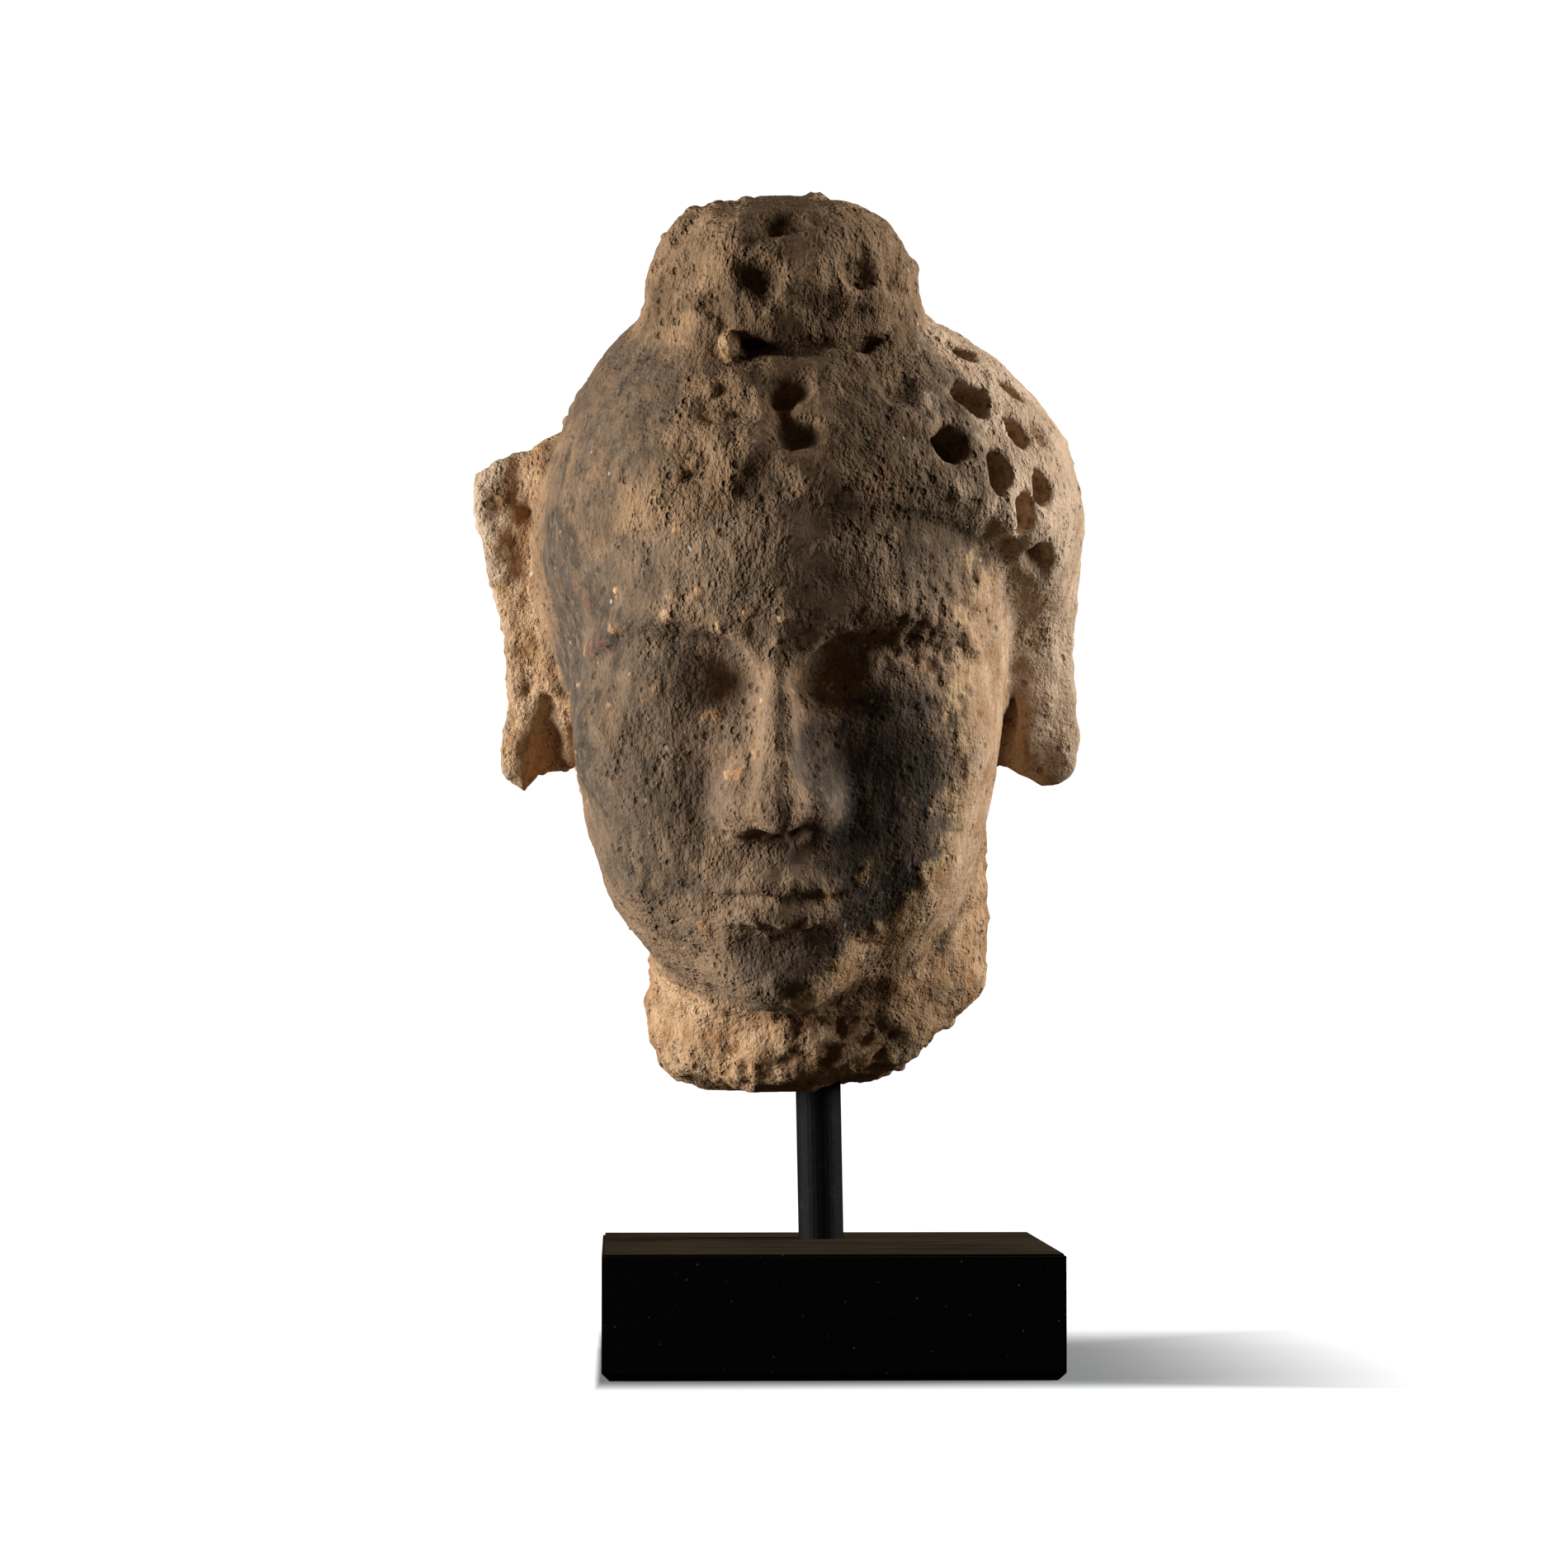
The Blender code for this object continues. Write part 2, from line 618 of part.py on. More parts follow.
def material(name, colour, roughness, metallic):
    made = bpy.data.materials.new(name)
    made.use_nodes = True
    shader = made.node_tree.nodes["Principled BSDF"]
    shader.inputs["Base Color"].default_value = (*colour, 1.0)
    shader.inputs["Roughness"].default_value = roughness
    shader.inputs["Metallic"].default_value = metallic
    made.diffuse_color = (*colour, 1.0)
    return made


def put(name, mesh, look=None):
    made = bpy.data.objects.new(name, mesh)
    bpy.context.scene.collection.objects.link(made)
    if look:
        mesh.materials.append(look)
    return made


def bar_mesh(name, radius, low, high):
    """A round bar along Z."""
    bm = bmesh.new()
    bmesh.ops.create_cone(
        bm, cap_ends=True, segments=ROD_SIDES, radius1=radius, radius2=radius, depth=high - low
    )
    bmesh.ops.translate(bm, verts=bm.verts, vec=(0.0, 0.0, (low + high) / 2.0))
    mesh = bpy.data.meshes.new(name)
    bm.to_mesh(mesh)
    bm.free()
    mesh.shade_smooth()
    mesh.set_sharp_from_angle(angle=math.radians(40.0))
    return mesh


def block_mesh():
    """The block, with a chamfer round its foot and the other edges just broken."""
    bm = bmesh.new()
    bmesh.ops.create_cube(bm, size=1.0)
    bmesh.ops.scale(bm, verts=bm.verts, vec=(BASE_WIDTH, BASE_DEPTH, BASE_HEIGHT))
    bmesh.ops.translate(bm, verts=bm.verts, vec=(0.0, 0.0, BASE_HEIGHT / 2.0))
    foot = [e for e in bm.edges if max(v.co.z for v in e.verts) < BASE_HEIGHT / 4.0]
    bmesh.ops.bevel(bm, geom=foot, offset=BASE_FOOT_CHAMFER, segments=1, affect="EDGES")
    level = BASE_FOOT_CHAMFER * 0.5
    rest = [e for e in bm.edges if min(v.co.z for v in e.verts) > level and e.calc_face_angle() > 1.0]
    bmesh.ops.bevel(bm, geom=rest, offset=BASE_EDGE_ROUND, segments=2, affect="EDGES")
    mesh = bpy.data.meshes.new("base_block")
    bm.to_mesh(mesh)
    bm.free()
    return mesh


def rod_place():
    """Where the rod leaves the block, with its lean, as one matrix."""
    foot = Vector((0.0, ROD_SETBACK, BASE_HEIGHT))
    return Matrix.Translation(foot) @ Matrix.Rotation(math.radians(-ROD_LEAN_DEG), 4, "Y")


def drill(target, cutter):
    """Takes the cutter out of the target and hides the cutter."""
    cutter.hide_render = True
    cutter.display_type = "WIRE"
    hole_maker = target.modifiers.new("drill", "BOOLEAN")
    hole_maker.operation = "DIFFERENCE"
    hole_maker.solver = "EXACT"
    hole_maker.object = cutter


def build_head(look):
    vertices, faces = head_mesh(CELL)
    mesh = bpy.data.meshes.new("head")
    mesh.from_pydata(vertices.tolist(), [], faces.tolist())
    head = put("head", mesh, look)
    centre = Vector((NECK_CENTRE[0], NECK_CENTRE[1], CARVED_FOOT))
    foot = rod_place() @ Vector((0.0, 0.0, ROD_SHOWN))
    mesh.transform(Matrix.Translation(-centre))
    mesh.transform(Matrix.Scale(UNIT, 4))
    head.location = foot
    fewer = head.modifiers.new("fewer_faces", "DECIMATE")
    fewer.ratio = HEAD_TRIANGLES / (2.0 * len(faces))
    mesh.shade_smooth()
    return head


def main():
    for old in list(bpy.data.objects):
        bpy.data.objects.remove(old, do_unlink=True)
    stucco = material("stucco", (0.42, 0.29, 0.19), 0.95, 0.0)
    black_steel = material("black_steel", (0.012, 0.012, 0.013), 0.42, 0.6)
    black_wood = material("black_wood", (0.016, 0.014, 0.012), 0.6, 0.0)

    radius = ROD_DIAMETER / 2.0
    lean = rod_place()
    rod = put("rod", bar_mesh("rod", radius, -ROD_IN_BASE, ROD_SHOWN + ROD_IN_HEAD), black_steel)
    rod.matrix_world = lean
    base = put("base_block", block_mesh(), black_wood)
    base_bore = bar_mesh("base_bore", radius + FIT_GAP, -ROD_IN_BASE - FIT_GAP, BASE_HEIGHT)
    base_cutter = put("base_cutter", base_bore)
    base_cutter.matrix_world = lean
    drill(base, base_cutter)

    head = build_head(stucco)
    head_bore = bar_mesh("head_bore", radius + FIT_GAP, 0.0, ROD_SHOWN + ROD_IN_HEAD + FIT_GAP)
    head_cutter = put("head_cutter", head_bore)
    head_cutter.matrix_world = lean
    drill(head, head_cutter)


main()
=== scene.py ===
"""Dresses the carved stucco head and its display stand.

The head is carved again from the same rounded forms as in the CAD source, with a finer mesh, and worn: the
skin crumbles, the coat of the face ends in a step, and chips stand on one temple. Masks on its vertices tell
the material where the coat, the patina, the ochre ground, the grime with painted shade and the pale places
with painted light are.

The frame is in metres, +Z up, with the origin under the middle of the block. The face looks along -Y.
"""

import math

import bmesh
import bpy
import numpy as np
from mathutils import Matrix, Vector, noise


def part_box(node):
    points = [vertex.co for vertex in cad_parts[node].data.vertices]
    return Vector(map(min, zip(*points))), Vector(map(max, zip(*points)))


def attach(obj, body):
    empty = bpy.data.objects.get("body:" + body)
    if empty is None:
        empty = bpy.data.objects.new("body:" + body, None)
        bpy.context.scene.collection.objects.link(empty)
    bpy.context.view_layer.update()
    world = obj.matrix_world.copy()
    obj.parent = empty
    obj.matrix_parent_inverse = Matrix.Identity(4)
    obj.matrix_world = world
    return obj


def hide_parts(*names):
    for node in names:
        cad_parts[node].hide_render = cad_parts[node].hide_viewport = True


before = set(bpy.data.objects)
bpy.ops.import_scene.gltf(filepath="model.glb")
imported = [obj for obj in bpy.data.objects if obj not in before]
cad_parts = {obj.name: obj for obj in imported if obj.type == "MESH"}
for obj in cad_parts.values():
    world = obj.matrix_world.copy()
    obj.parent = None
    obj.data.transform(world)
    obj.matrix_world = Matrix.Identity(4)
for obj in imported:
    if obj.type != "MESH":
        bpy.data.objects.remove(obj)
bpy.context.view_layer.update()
HEAD_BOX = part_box("head")

# The rod and the way it leans, as in the CAD source
BASE_HEIGHT = 0.025
ROD_DIAMETER = 0.0095
ROD_SHOWN = 0.0310
ROD_IN_HEAD = 0.045
ROD_SETBACK = 0.020
ROD_LEAN_DEG = 1.1
FIT_GAP = 0.0003

# The carving is laid out in units of about a millimetre, with its origin between the ears.
HEAD_HEIGHT = 0.1846
HEAD_TILT_DEG = 10.0
HEAD_TURN_DEG = 3.0
CARVED_HEIGHT = 184.6
CARVED_FOOT = -93.0
NECK_CENTRE = (8.7, 9.0)
UNIT = HEAD_HEIGHT / CARVED_HEIGHT
CELL = 1.0


# Rounded forms

def lengths(vectors):
    return np.sqrt(np.einsum("ij,ij->i", vectors, vectors))


def ellipsoid(p, centre, radii):
    """About the distance from each point to an ellipsoid."""
    radii = np.array(radii, dtype=p.dtype)
    q = (p - np.array(centre, dtype=p.dtype)) / radii
    near = lengths(q)
    reach = (near + 1e-4) / (lengths(q / radii) + 1e-4 / radii.min())
    return reach * (near - 1.0)


def rounded_rod(p, start, end, start_radius, end_radius):
    """A round bar between two points whose radius changes along it."""
    start, end = np.array(start, dtype=p.dtype), np.array(end, dtype=p.dtype)
    course = end - start
    along = np.clip((p - start) @ course / (course @ course), 0.0, 1.0)
    nearest = start + along[:, None] * course
    return lengths(p - nearest) - start_radius - along * (end_radius - start_radius)


def smooth_line(knots, steps=4):
    """Points along a smooth curve through the knots. Each knot ends with the bar's radius there."""
    knots = np.array(knots)
    ends = np.vstack((2.0 * knots[0] - knots[1], knots, 2.0 * knots[-1] - knots[-2]))
    line = []
    for before, start, end, after in zip(ends, ends[1:], ends[2:], ends[3:]):
        for t in np.arange(steps) / steps:
            bend = (2.0 * before - 5.0 * start + 4.0 * end - after) * t ** 2
            swing = (3.0 * start - before - 3.0 * end + after) * t ** 3
            line.append(start + 0.5 * ((end - before) * t + bend + swing))
    return line + [knots[-1]]


def bent_rod(p, knots):
    """A round bar bent through the knots, which are points with a radius."""
    line = smooth_line(knots)
    bars = [rounded_rod(p, a[:-1], b[:-1], a[-1], b[-1]) for a, b in zip(line, line[1:])]
    return np.minimum.reduce(bars)


def slab(p, knots, middle, half_thickness, edge_round):
    """A flat plate that faces the front. Its outline is a bent bar through the knots: x, z and radius."""
    side = bent_rod(p[:, [0, 2]], knots) + edge_round
    face = np.abs(p[:, 1] - middle) - half_thickness + edge_round
    outside = np.hypot(np.maximum(side, 0.0), np.maximum(face, 0.0))
    return np.minimum(np.maximum(side, face), 0.0) + outside - edge_round


def add(a, b, softness):
    """Joins two forms with a fillet as wide as softness."""
    h = np.clip(0.5 + 0.5 * (b - a) / softness, 0.0, 1.0)
    return b * (1.0 - h) + a * h - softness * h * (1.0 - h)


def cut(a, b, softness):
    """Takes form b out of form a."""
    return -add(-a, b, softness)


def keep(a, b, softness):
    """What two forms have in common."""
    return -add(-a, -b, softness)


def mirrored(p):
    """The points with those on the left side moved to the right, for a form that is the same on both."""
    q = p.copy()
    q[:, 0] = np.abs(q[:, 0])
    return q


def change_near(p, shape, centre, reach, change):
    """Changes the shape only within reach of a point, which saves time on small forms."""
    close = np.flatnonzero(lengths(p - np.array(centre, dtype=p.dtype)) < reach)
    shape[close] = change(p[close], shape[close])
    return shape


def ripple(p, size):
    """A soft unevenness between about -1 and 1, with hollows and swells about size across."""
    q = p * (2.2 / size)
    first = np.sin(q[:, 0] + 1.3 * np.sin(0.7 * q[:, 1] + 0.9 * q[:, 2]))
    second = np.sin(0.9 * q[:, 1] - 0.5 * q[:, 0] + 1.2 * np.sin(1.1 * q[:, 2] + 2.0))
    third = np.sin(1.1 * q[:, 2] + 0.6 * q[:, 1] + 1.4 * np.sin(0.8 * q[:, 0] + 4.0))
    return (first + second + third) / 3.0


def ramp(value, low, high):
    """0 below low, 1 above high, and a smooth rise between them."""
    t = np.clip((value - low) / (high - low), 0.0, 1.0)
    return t * t * (3.0 - 2.0 * t)


# The head, in carving units. The face, the hair, the knot and the holes take points in the frame of the
# tilted head. The ears and the neck take upright points.

CHIN = -71.0
CROWN = 71.0
FACE_HEIGHT = CROWN - CHIN
HAIRLINE = CHIN + FACE_HEIGHT * 0.76
BROW_LINE = CHIN + FACE_HEIGHT * 0.58
EYE_LINE = CHIN + FACE_HEIGHT * 0.50
NOSE_LINE = CHIN + FACE_HEIGHT * 0.285
MOUTH_LINE = CHIN + FACE_HEIGHT * 0.19
EYE_WIDTH = FACE_HEIGHT * 0.133


def skull(p):
    cranium = ellipsoid(p, (1.0, 4.0, 18.0), (48.0, 57.0, 57.0))
    front = ellipsoid(p, (0.5, -13.0, -20.0), (43.0, 37.0, 50.0))
    shape = add(cranium, front, 14.0)
    forehead = ellipsoid(p, (0.0, -16.0, 24.0), (39.0, 36.5, 32.0))
    return add(shape, forehead, 10.0)


def cheeks_and_jaw(p, shape):
    q = mirrored(p)
    jaw = ellipsoid(p, (0.0, -17.0, -41.0), (31.5, 31.0, 29.0))
    shape = add(shape, jaw, 12.0)
    chin = ellipsoid(p, (0.0, -40.0, CHIN + 12.5), (12.5, 10.5, 10.5))
    shape = add(shape, chin, 9.0)
    cheekbone = ellipsoid(q, (25.0, -31.5, -15.0), (16.0, 14.0, 14.0))
    shape = add(shape, cheekbone, 10.0)
    cheek = ellipsoid(q, (20.0, -34.0, -34.0), (15.0, 13.5, 17.0))
    shape = add(shape, cheek, 10.0)
    mouth_mound = ellipsoid(p, (0.0, -40.5, MOUTH_LINE + 1.0), (17.0, 13.0, 14.0))
    return add(shape, mouth_mound, 9.0)


def nose(p, shape):
    q = mirrored(p)
    bridge_knots = (
        (0.0, -48.0, EYE_LINE + 12.0, 4.0),
        (0.0, -51.5, EYE_LINE + 2.0, 3.6),
        (0.0, -58.5, NOSE_LINE + 12.0, 4.4),
        (0.0, -60.8, NOSE_LINE + 6.5, 5.6),
    )
    shape = add(shape, bent_rod(p, bridge_knots), 4.5)
    flank = rounded_rod(q, (2.0, -44.0, EYE_LINE + 1.0), (4.5, -50.0, NOSE_LINE + 6.0), 4.0, 7.0)
    shape = add(shape, flank, 5.0)
    wing = ellipsoid(q, (6.8, -52.8, NOSE_LINE + 5.2), (4.8, 7.0, 5.0))
    shape = add(shape, wing, 5.0)
    nostril = ellipsoid(q, (3.6, -57.5, NOSE_LINE - 0.4), (2.0, 3.4, 2.0))
    return cut(shape, nostril, 1.4)


def brows(p, shape):
    q = mirrored(p)
    socket = ellipsoid(q, (19.0, -52.5, EYE_LINE + 3.0), (15.0, 8.0, 8.0))
    shape = cut(shape, socket, 6.0)
    inner_hollow = ellipsoid(q, (8.5, -54.5, EYE_LINE + 0.5), (3.5, 6.0, 6.0))
    shape = cut(shape, inner_hollow, 5.0)
    arch_knots = (
        (3.5, -51.0, BROW_LINE - 7.0, 1.6),
        (10.0, -50.2, BROW_LINE - 0.5, 2.2),
        (21.0, -46.6, BROW_LINE + 2.2, 2.4),
        (31.0, -39.5, BROW_LINE - 0.8, 2.2),
        (38.0, -31.0, BROW_LINE - 8.0, 1.6),
    )
    return add(shape, bent_rod(q, arch_knots), 4.0)


def eyes(p, shape):
    """Heavy lids that are almost closed over a full eyeball."""
    q = mirrored(p)
    centre = np.array((19.0, -35.0, EYE_LINE - 3.0))
    reach = (q[:, 0] - centre[0]) / EYE_WIDTH
    ball = ellipsoid(q, centre, (15.0, 12.2, 10.0))
    shape = add(shape, ball, 2.0)
    lash_line = EYE_LINE - 6.0 + 7.0 * reach ** 2 + 1.2 * reach
    upper = ellipsoid(q, centre, (16.4, 13.9, 11.7))
    upper = keep(upper, lash_line - q[:, 2], 0.6)
    shape = add(shape, upper, 2.0)
    lower_line = EYE_LINE - 7.6 + 5.2 * reach ** 2 + 1.2 * reach
    lower = ellipsoid(q, centre, (16.0, 13.2, 11.6))
    lower = keep(lower, q[:, 2] - lower_line, 0.6)
    shape = add(shape, lower, 2.6)
    crease_knots = (
        (8.8, -47.6, EYE_LINE - 0.5, 0.4),
        (13.0, -49.2, EYE_LINE + 4.2, 0.9),
        (20.0, -49.0, EYE_LINE + 6.2, 1.0),
        (27.5, -45.0, EYE_LINE + 4.2, 0.8),
        (31.5, -42.0, EYE_LINE + 1.8, 0.2),
    )
    return cut(shape, bent_rod(q, crease_knots), 1.6)


def mouth(p, shape):
    q = mirrored(p)
    upper_knots = (
        (0.0, -54.8, MOUTH_LINE + 2.5, 2.3),
        (4.0, -54.4, MOUTH_LINE + 3.2, 2.5),
        (9.5, -51.6, MOUTH_LINE + 2.0, 2.0),
        (15.0, -46.6, MOUTH_LINE + 0.8, 0.8),
    )
    shape = add(shape, bent_rod(q, upper_knots), 2.0)
    lower_knots = (
        (0.0, -53.6, MOUTH_LINE - 3.8, 3.3),
        (6.0, -52.3, MOUTH_LINE - 3.1, 2.9),
        (13.5, -47.0, MOUTH_LINE - 0.4, 1.0),
    )
    shape = add(shape, bent_rod(q, lower_knots), 2.2)
    parting_knots = (
        (0.0, -57.6, MOUTH_LINE - 0.5, 0.9),
        (4.0, -56.6, MOUTH_LINE - 0.1, 0.9),
        (9.5, -53.0, MOUTH_LINE - 0.2, 0.8),
        (13.0, -51.6, MOUTH_LINE + 0.4, 0.3),
    )
    shape = cut(shape, bent_rod(q, parting_knots), 1.2)
    under_lip = ellipsoid(p, (0.0, -55.5, MOUTH_LINE - 11.0), (11.0, 5.5, 3.6))
    shape = cut(shape, under_lip, 5.0)
    lip_groove = rounded_rod(p, (0.0, -58.2, NOSE_LINE - 2.5), (0.0, -57.8, MOUTH_LINE + 6.5), 1.2, 2.0)
    return cut(shape, lip_groove, 2.2)


def face(p):
    shape = cheeks_and_jaw(p, skull(p))
    shape = change_near(p, shape, (0.0, -52.0, -10.0), 36.0, nose)
    shape = change_near(p, shape, (0.0, -40.0, EYE_LINE + 4.0), 54.0, brows)
    shape = change_near(p, shape, (0.0, -40.0, EYE_LINE - 3.0), 48.0, eyes)
    return change_near(p, shape, (0.0, -50.0, MOUTH_LINE), 28.0, mouth)


# Hair. The cap is fuller on the +X side and worn smooth on the other.
HAIR_CENTRE = np.array((3.0, 4.0, 18.0))
KNOT_CENTRE = np.array((0.2, -8.0, 74.0))


def hair_form(p):
    """The whole rounded mass that the cap is taken from."""
    mass = ellipsoid(p, (2.0, 4.0, 17.0), (51.5, 60.5, 60.0))
    crown = ellipsoid(p, (-4.5, 6.0, 33.0), (38.0, 44.0, 41.5))
    swell = ellipsoid(p, (16.5, 2.0, 28.0), (45.5, 46.0, 39.6))
    return add(add(mass, crown, 8.0), swell, 8.0)


def hair(p, shape):
    cap = hair_form(p)
    worn = 1.0 - ramp(p[:, 0], -34.0, 8.0)
    over_brow = p[:, 2] - HAIRLINE + 0.004 * p[:, 0] ** 2 + 0.6 * ripple(p, 14.0)
    over_temple = 0.74 * (p[:, 1] + 31.0) + 0.67 * (p[:, 2] - HAIRLINE + 7.0)
    over_nape = 0.35 * p[:, 1] + 0.94 * (p[:, 2] + 24.0)
    over_edge = -add(-over_brow, -over_temple, 8.0)
    cap = keep(cap, -over_edge, 6.0 + 9.0 * worn)
    cap = keep(cap, -over_nape, 6.0)
    return add(shape, cap, 5.0 + 7.5 * worn)


def knot_form(p):
    bun = ellipsoid(p, KNOT_CENTRE, (27.6, 27.5, 25.0))
    return keep(bun, p[:, 2] - 95.0, 9.0)


# A pebble in the groove under the knot and, from it, the hole at its side
PEBBLE = np.array((-9.8, -34.2, 65.4))
PEBBLE_RADII = (2.2, 2.6, 2.9)
PEBBLE_HOLE = np.array((5.0, 3.0, 0.4))
PEBBLE_HOLE_RADII = (3.0, 2.4, 1.5)


def knot(p, shape):
    """The knot. A crumbled groove runs under its front, and its sides flow into the cap."""
    bun = knot_form(p)
    at_front = ramp(p[:, 0], -16.0, -8.0) * ramp(-p[:, 0], -25.0, -17.0) * ramp(-p[:, 1], 16.0, 24.0)
    shape = add(shape, bun, 6.5 - 5.3 * at_front)
    groove = np.hypot(bun - 0.8, hair_form(p) - 0.4) - 1.3 - 1.4 * ripple(p, 6.0)
    shape = cut(shape, groove + 5.0 * (1.0 - at_front), 1.4)
    shape = cut(shape, ellipsoid(p, PEBBLE + PEBBLE_HOLE, PEBBLE_HOLE_RADII), 1.6)
    return add(shape, ellipsoid(p, PEBBLE, PEBBLE_RADII), 0.5)


def met(form, start, end):
    """The first point of a form on the straight way from start to end."""
    start, end = np.array(start), np.array(end)
    way = start + np.linspace(0.0, 1.0, 500)[:, None] * (end - start)
    return way[np.argmax(form(way) < 0.0)]


# Holes less deep than this are worn to round dips.
WORN_DEPTH = 4.6


def hole(p, shape, at, centre, width, height, depth):
    """A blunt six-sided hole, or a round dip, that goes in towards the centre of its form."""
    inward = centre - at
    inward /= np.linalg.norm(inward)
    side = np.cross(inward, (0.0, 0.0, 1.0))
    side /= np.linalg.norm(side)
    axes = np.array((side, np.cross(side, inward), inward))

    def bore(q, here):
        local = (q - at) @ axes.T
        if depth < WORN_DEPTH:
            dip = ellipsoid(local, (0.0, 0.0, 0.0), (0.58 * width, 0.58 * height, 0.7 * depth))
            return cut(here, dip, 2.0)
        across = np.abs(local[:, 0]) * 2.0 / width
        slant = 0.5 * across + 0.87 * np.abs(local[:, 1]) * 2.0 / height
        six_sided = (across ** 6 + slant ** 6) ** (1.0 / 6.0)
        bowl = np.hypot(six_sided, local[:, 2] / depth) - 1.0
        return cut(here, bowl * min(width / 2.0, depth), 1.1)

    return change_near(p, shape, at, depth + 8.0, bore)


# Holes that show from the front: x, z, width, height, depth
FRONT_HOLES = (
    (37.0, 63.1, 10.0, 6.5, 8.0),
    (38.9, 54.5, 10.0, 8.5, 8.5),
    (46.6, 55.4, 7.5, 8.0, 7.0),
    (34.3, 45.3, 8.5, 9.0, 7.0),
    (44.1, 40.0, 7.0, 9.5, 8.0),
    (48.1, 47.2, 6.5, 7.5, 7.0),
    (53.1, 36.3, 7.0, 8.0, 7.0),
    (50.0, 31.5, 6.5, 8.0, 6.0),
    (51.8, 20.7, 7.5, 8.0, 3.8),
    (52.6, 46.5, 5.0, 6.5, 4.0),
    (24.0, 56.7, 7.5, 7.0, 3.2),
    (3.1, 56.2, 8.5, 8.0, 3.4),
    (3.6, 49.4, 8.5, 8.0, 3.6),
    (-10.4, 53.8, 10.0, 8.5, 2.4),
    (-2.0, 39.8, 9.0, 7.0, 1.8),
    (-16.9, 42.6, 10.0, 8.5, 1.8),
)
KNOT_HOLES = (
    (0.6, 89.8, 9.5, 7.0, 4.5),
    (-3.6, 78.6, 8.5, 8.5, 3.8),
    (15.8, 81.1, 8.0, 8.0, 3.8),
    (-19.0, 80.1, 7.0, 7.5, 2.4),
    (-11.4, 72.6, 8.0, 6.5, 2.4),
    (10.9, 71.5, 13.0, 5.0, 1.8),
)
# Rows of holes round the side and the back: height, first and last bearing in degrees from the front, count
SIDE_ROWS = (
    (64.0, 105.0, 255.0, 5),
    (50.0, 92.0, 262.0, 8),
    (35.0, 84.0, 258.0, 9),
    (20.0, 96.0, 254.0, 8),
    (5.0, 112.0, 246.0, 6),
)
KNOT_ROWS = (
    (89.0, 80.0, 300.0, 5),
    (79.0, 60.0, 290.0, 6),
)
# The holes of those rows: width, height, depth
SIDE_HOLE = (7.0, 8.0, 6.5)
KNOT_SIDE_HOLE = (7.0, 7.5, 3.0)
# Where the ways that look for the surface start and end: from before the face, and from beside the head
FRONT_WAY = (-75.0, 25.0)
SIDE_WAY = 90.0


def rows(p, shape, form, centre, bearings, size):
    """Holes in level rows round a form, shallower on the worn -X side."""
    width, height, depth = size
    for z, first, last, count in bearings:
        axis = np.array((centre[0], centre[1], z))
        for bearing in np.radians(np.linspace(first, last, count)):
            at = met(form, axis + SIDE_WAY * np.array((np.sin(bearing), -np.cos(bearing), 0.0)), axis)
            worn = 1.0 - 0.6 * ramp(-at[0], 0.0, 40.0)
            shape = hole(p, shape, at, centre, width, height, depth * worn)
    return shape


def ears(p, shape):
    """Long ears. The worn one, on the -X side, stands out further and its lobe is hollow."""
    worn_knots = (
        (-44.0, 36.0, 6.0),
        (-58.0, 32.5, 5.0),
        (-53.5, 14.0, 6.5),
        (-49.5, -4.0, 7.0),
        (-50.0, -24.0, 7.5),
    )
    corner_knots = (
        (-50.0, 35.5, 3.5),
        (-60.5, 33.0, 3.5),
    )
    root_knots = (
        (-44.5, 38.5, 6.5),
        (-45.0, 14.0, 6.0),
        (-44.0, -10.0, 5.0),
    )
    full_knots = (
        (53.0, 30.0, 9.5),
        (53.0, 12.0, 9.0),
        (52.6, -4.0, 8.6),
        (54.2, -17.0, 8.3),
    )
    lobe_knots = (
        (52.0, -14.0, 6.0),
        (57.0, -23.5, 5.0),
    )
    worn_ear = add(slab(p, worn_knots, 9.0, 10.0, 3.0), slab(p, corner_knots, 8.0, 8.5, 2.0), 2.0)
    worn_ear = add(worn_ear, slab(p, root_knots, 6.5, 10.0, 3.0), 4.0)
    full_root = rounded_rod(p, (49.0, -6.0, 24.0), (50.5, -1.0, -16.0), 12.0, 8.0)
    full_ear = add(slab(p, full_knots, 6.0, 11.5, 4.0), slab(p, lobe_knots, 3.0, 8.0, 3.0), 3.0)
    full_ear = add(full_ear, full_root, 5.0)
    back_edge = 0.97 * (p[:, 1] - 18.0) - 0.24 * (p[:, 2] - 24.0)
    shape = add(shape, keep(worn_ear, back_edge, 5.0), 1.5)
    shape = add(shape, keep(full_ear, back_edge, 5.0), 4.0)

    lobe_hollow = rounded_rod(p, (-48.3, -3.0, -12.0), (-47.3, 0.5, -29.0), 2.2, 5.5)
    shape = cut(shape, lobe_hollow, 1.2)
    nick = rounded_rod(p, (-55.5, -1.5, -12.0), (-56.5, -1.0, -17.0), 1.5, 2.2)
    shape = cut(shape, nick, 1.0)
    furrow_knots = (
        (46.5, -6.0, 18.0, 1.6),
        (48.5, -7.0, 0.0, 2.0),
        (48.0, -7.0, -14.0, 2.2),
        (46.5, -8.0, -26.0, 1.6),
    )
    shape = cut(shape, bent_rod(p, furrow_knots), 2.5)
    worn_shell_knots = (
        (-67.0, 9.0, 25.0, 5.5),
        (-63.5, 8.0, 8.0, 5.0),
        (-60.0, 6.0, -8.0, 4.0),
    )
    full_shell_knots = (
        (67.5, 6.0, 12.0, 5.5),
        (67.0, 5.0, -1.0, 5.5),
        (68.0, 3.0, -12.0, 4.5),
    )
    shape = cut(shape, bent_rod(p, worn_shell_knots), 2.0)
    return cut(shape, bent_rod(p, full_shell_knots), 2.0)


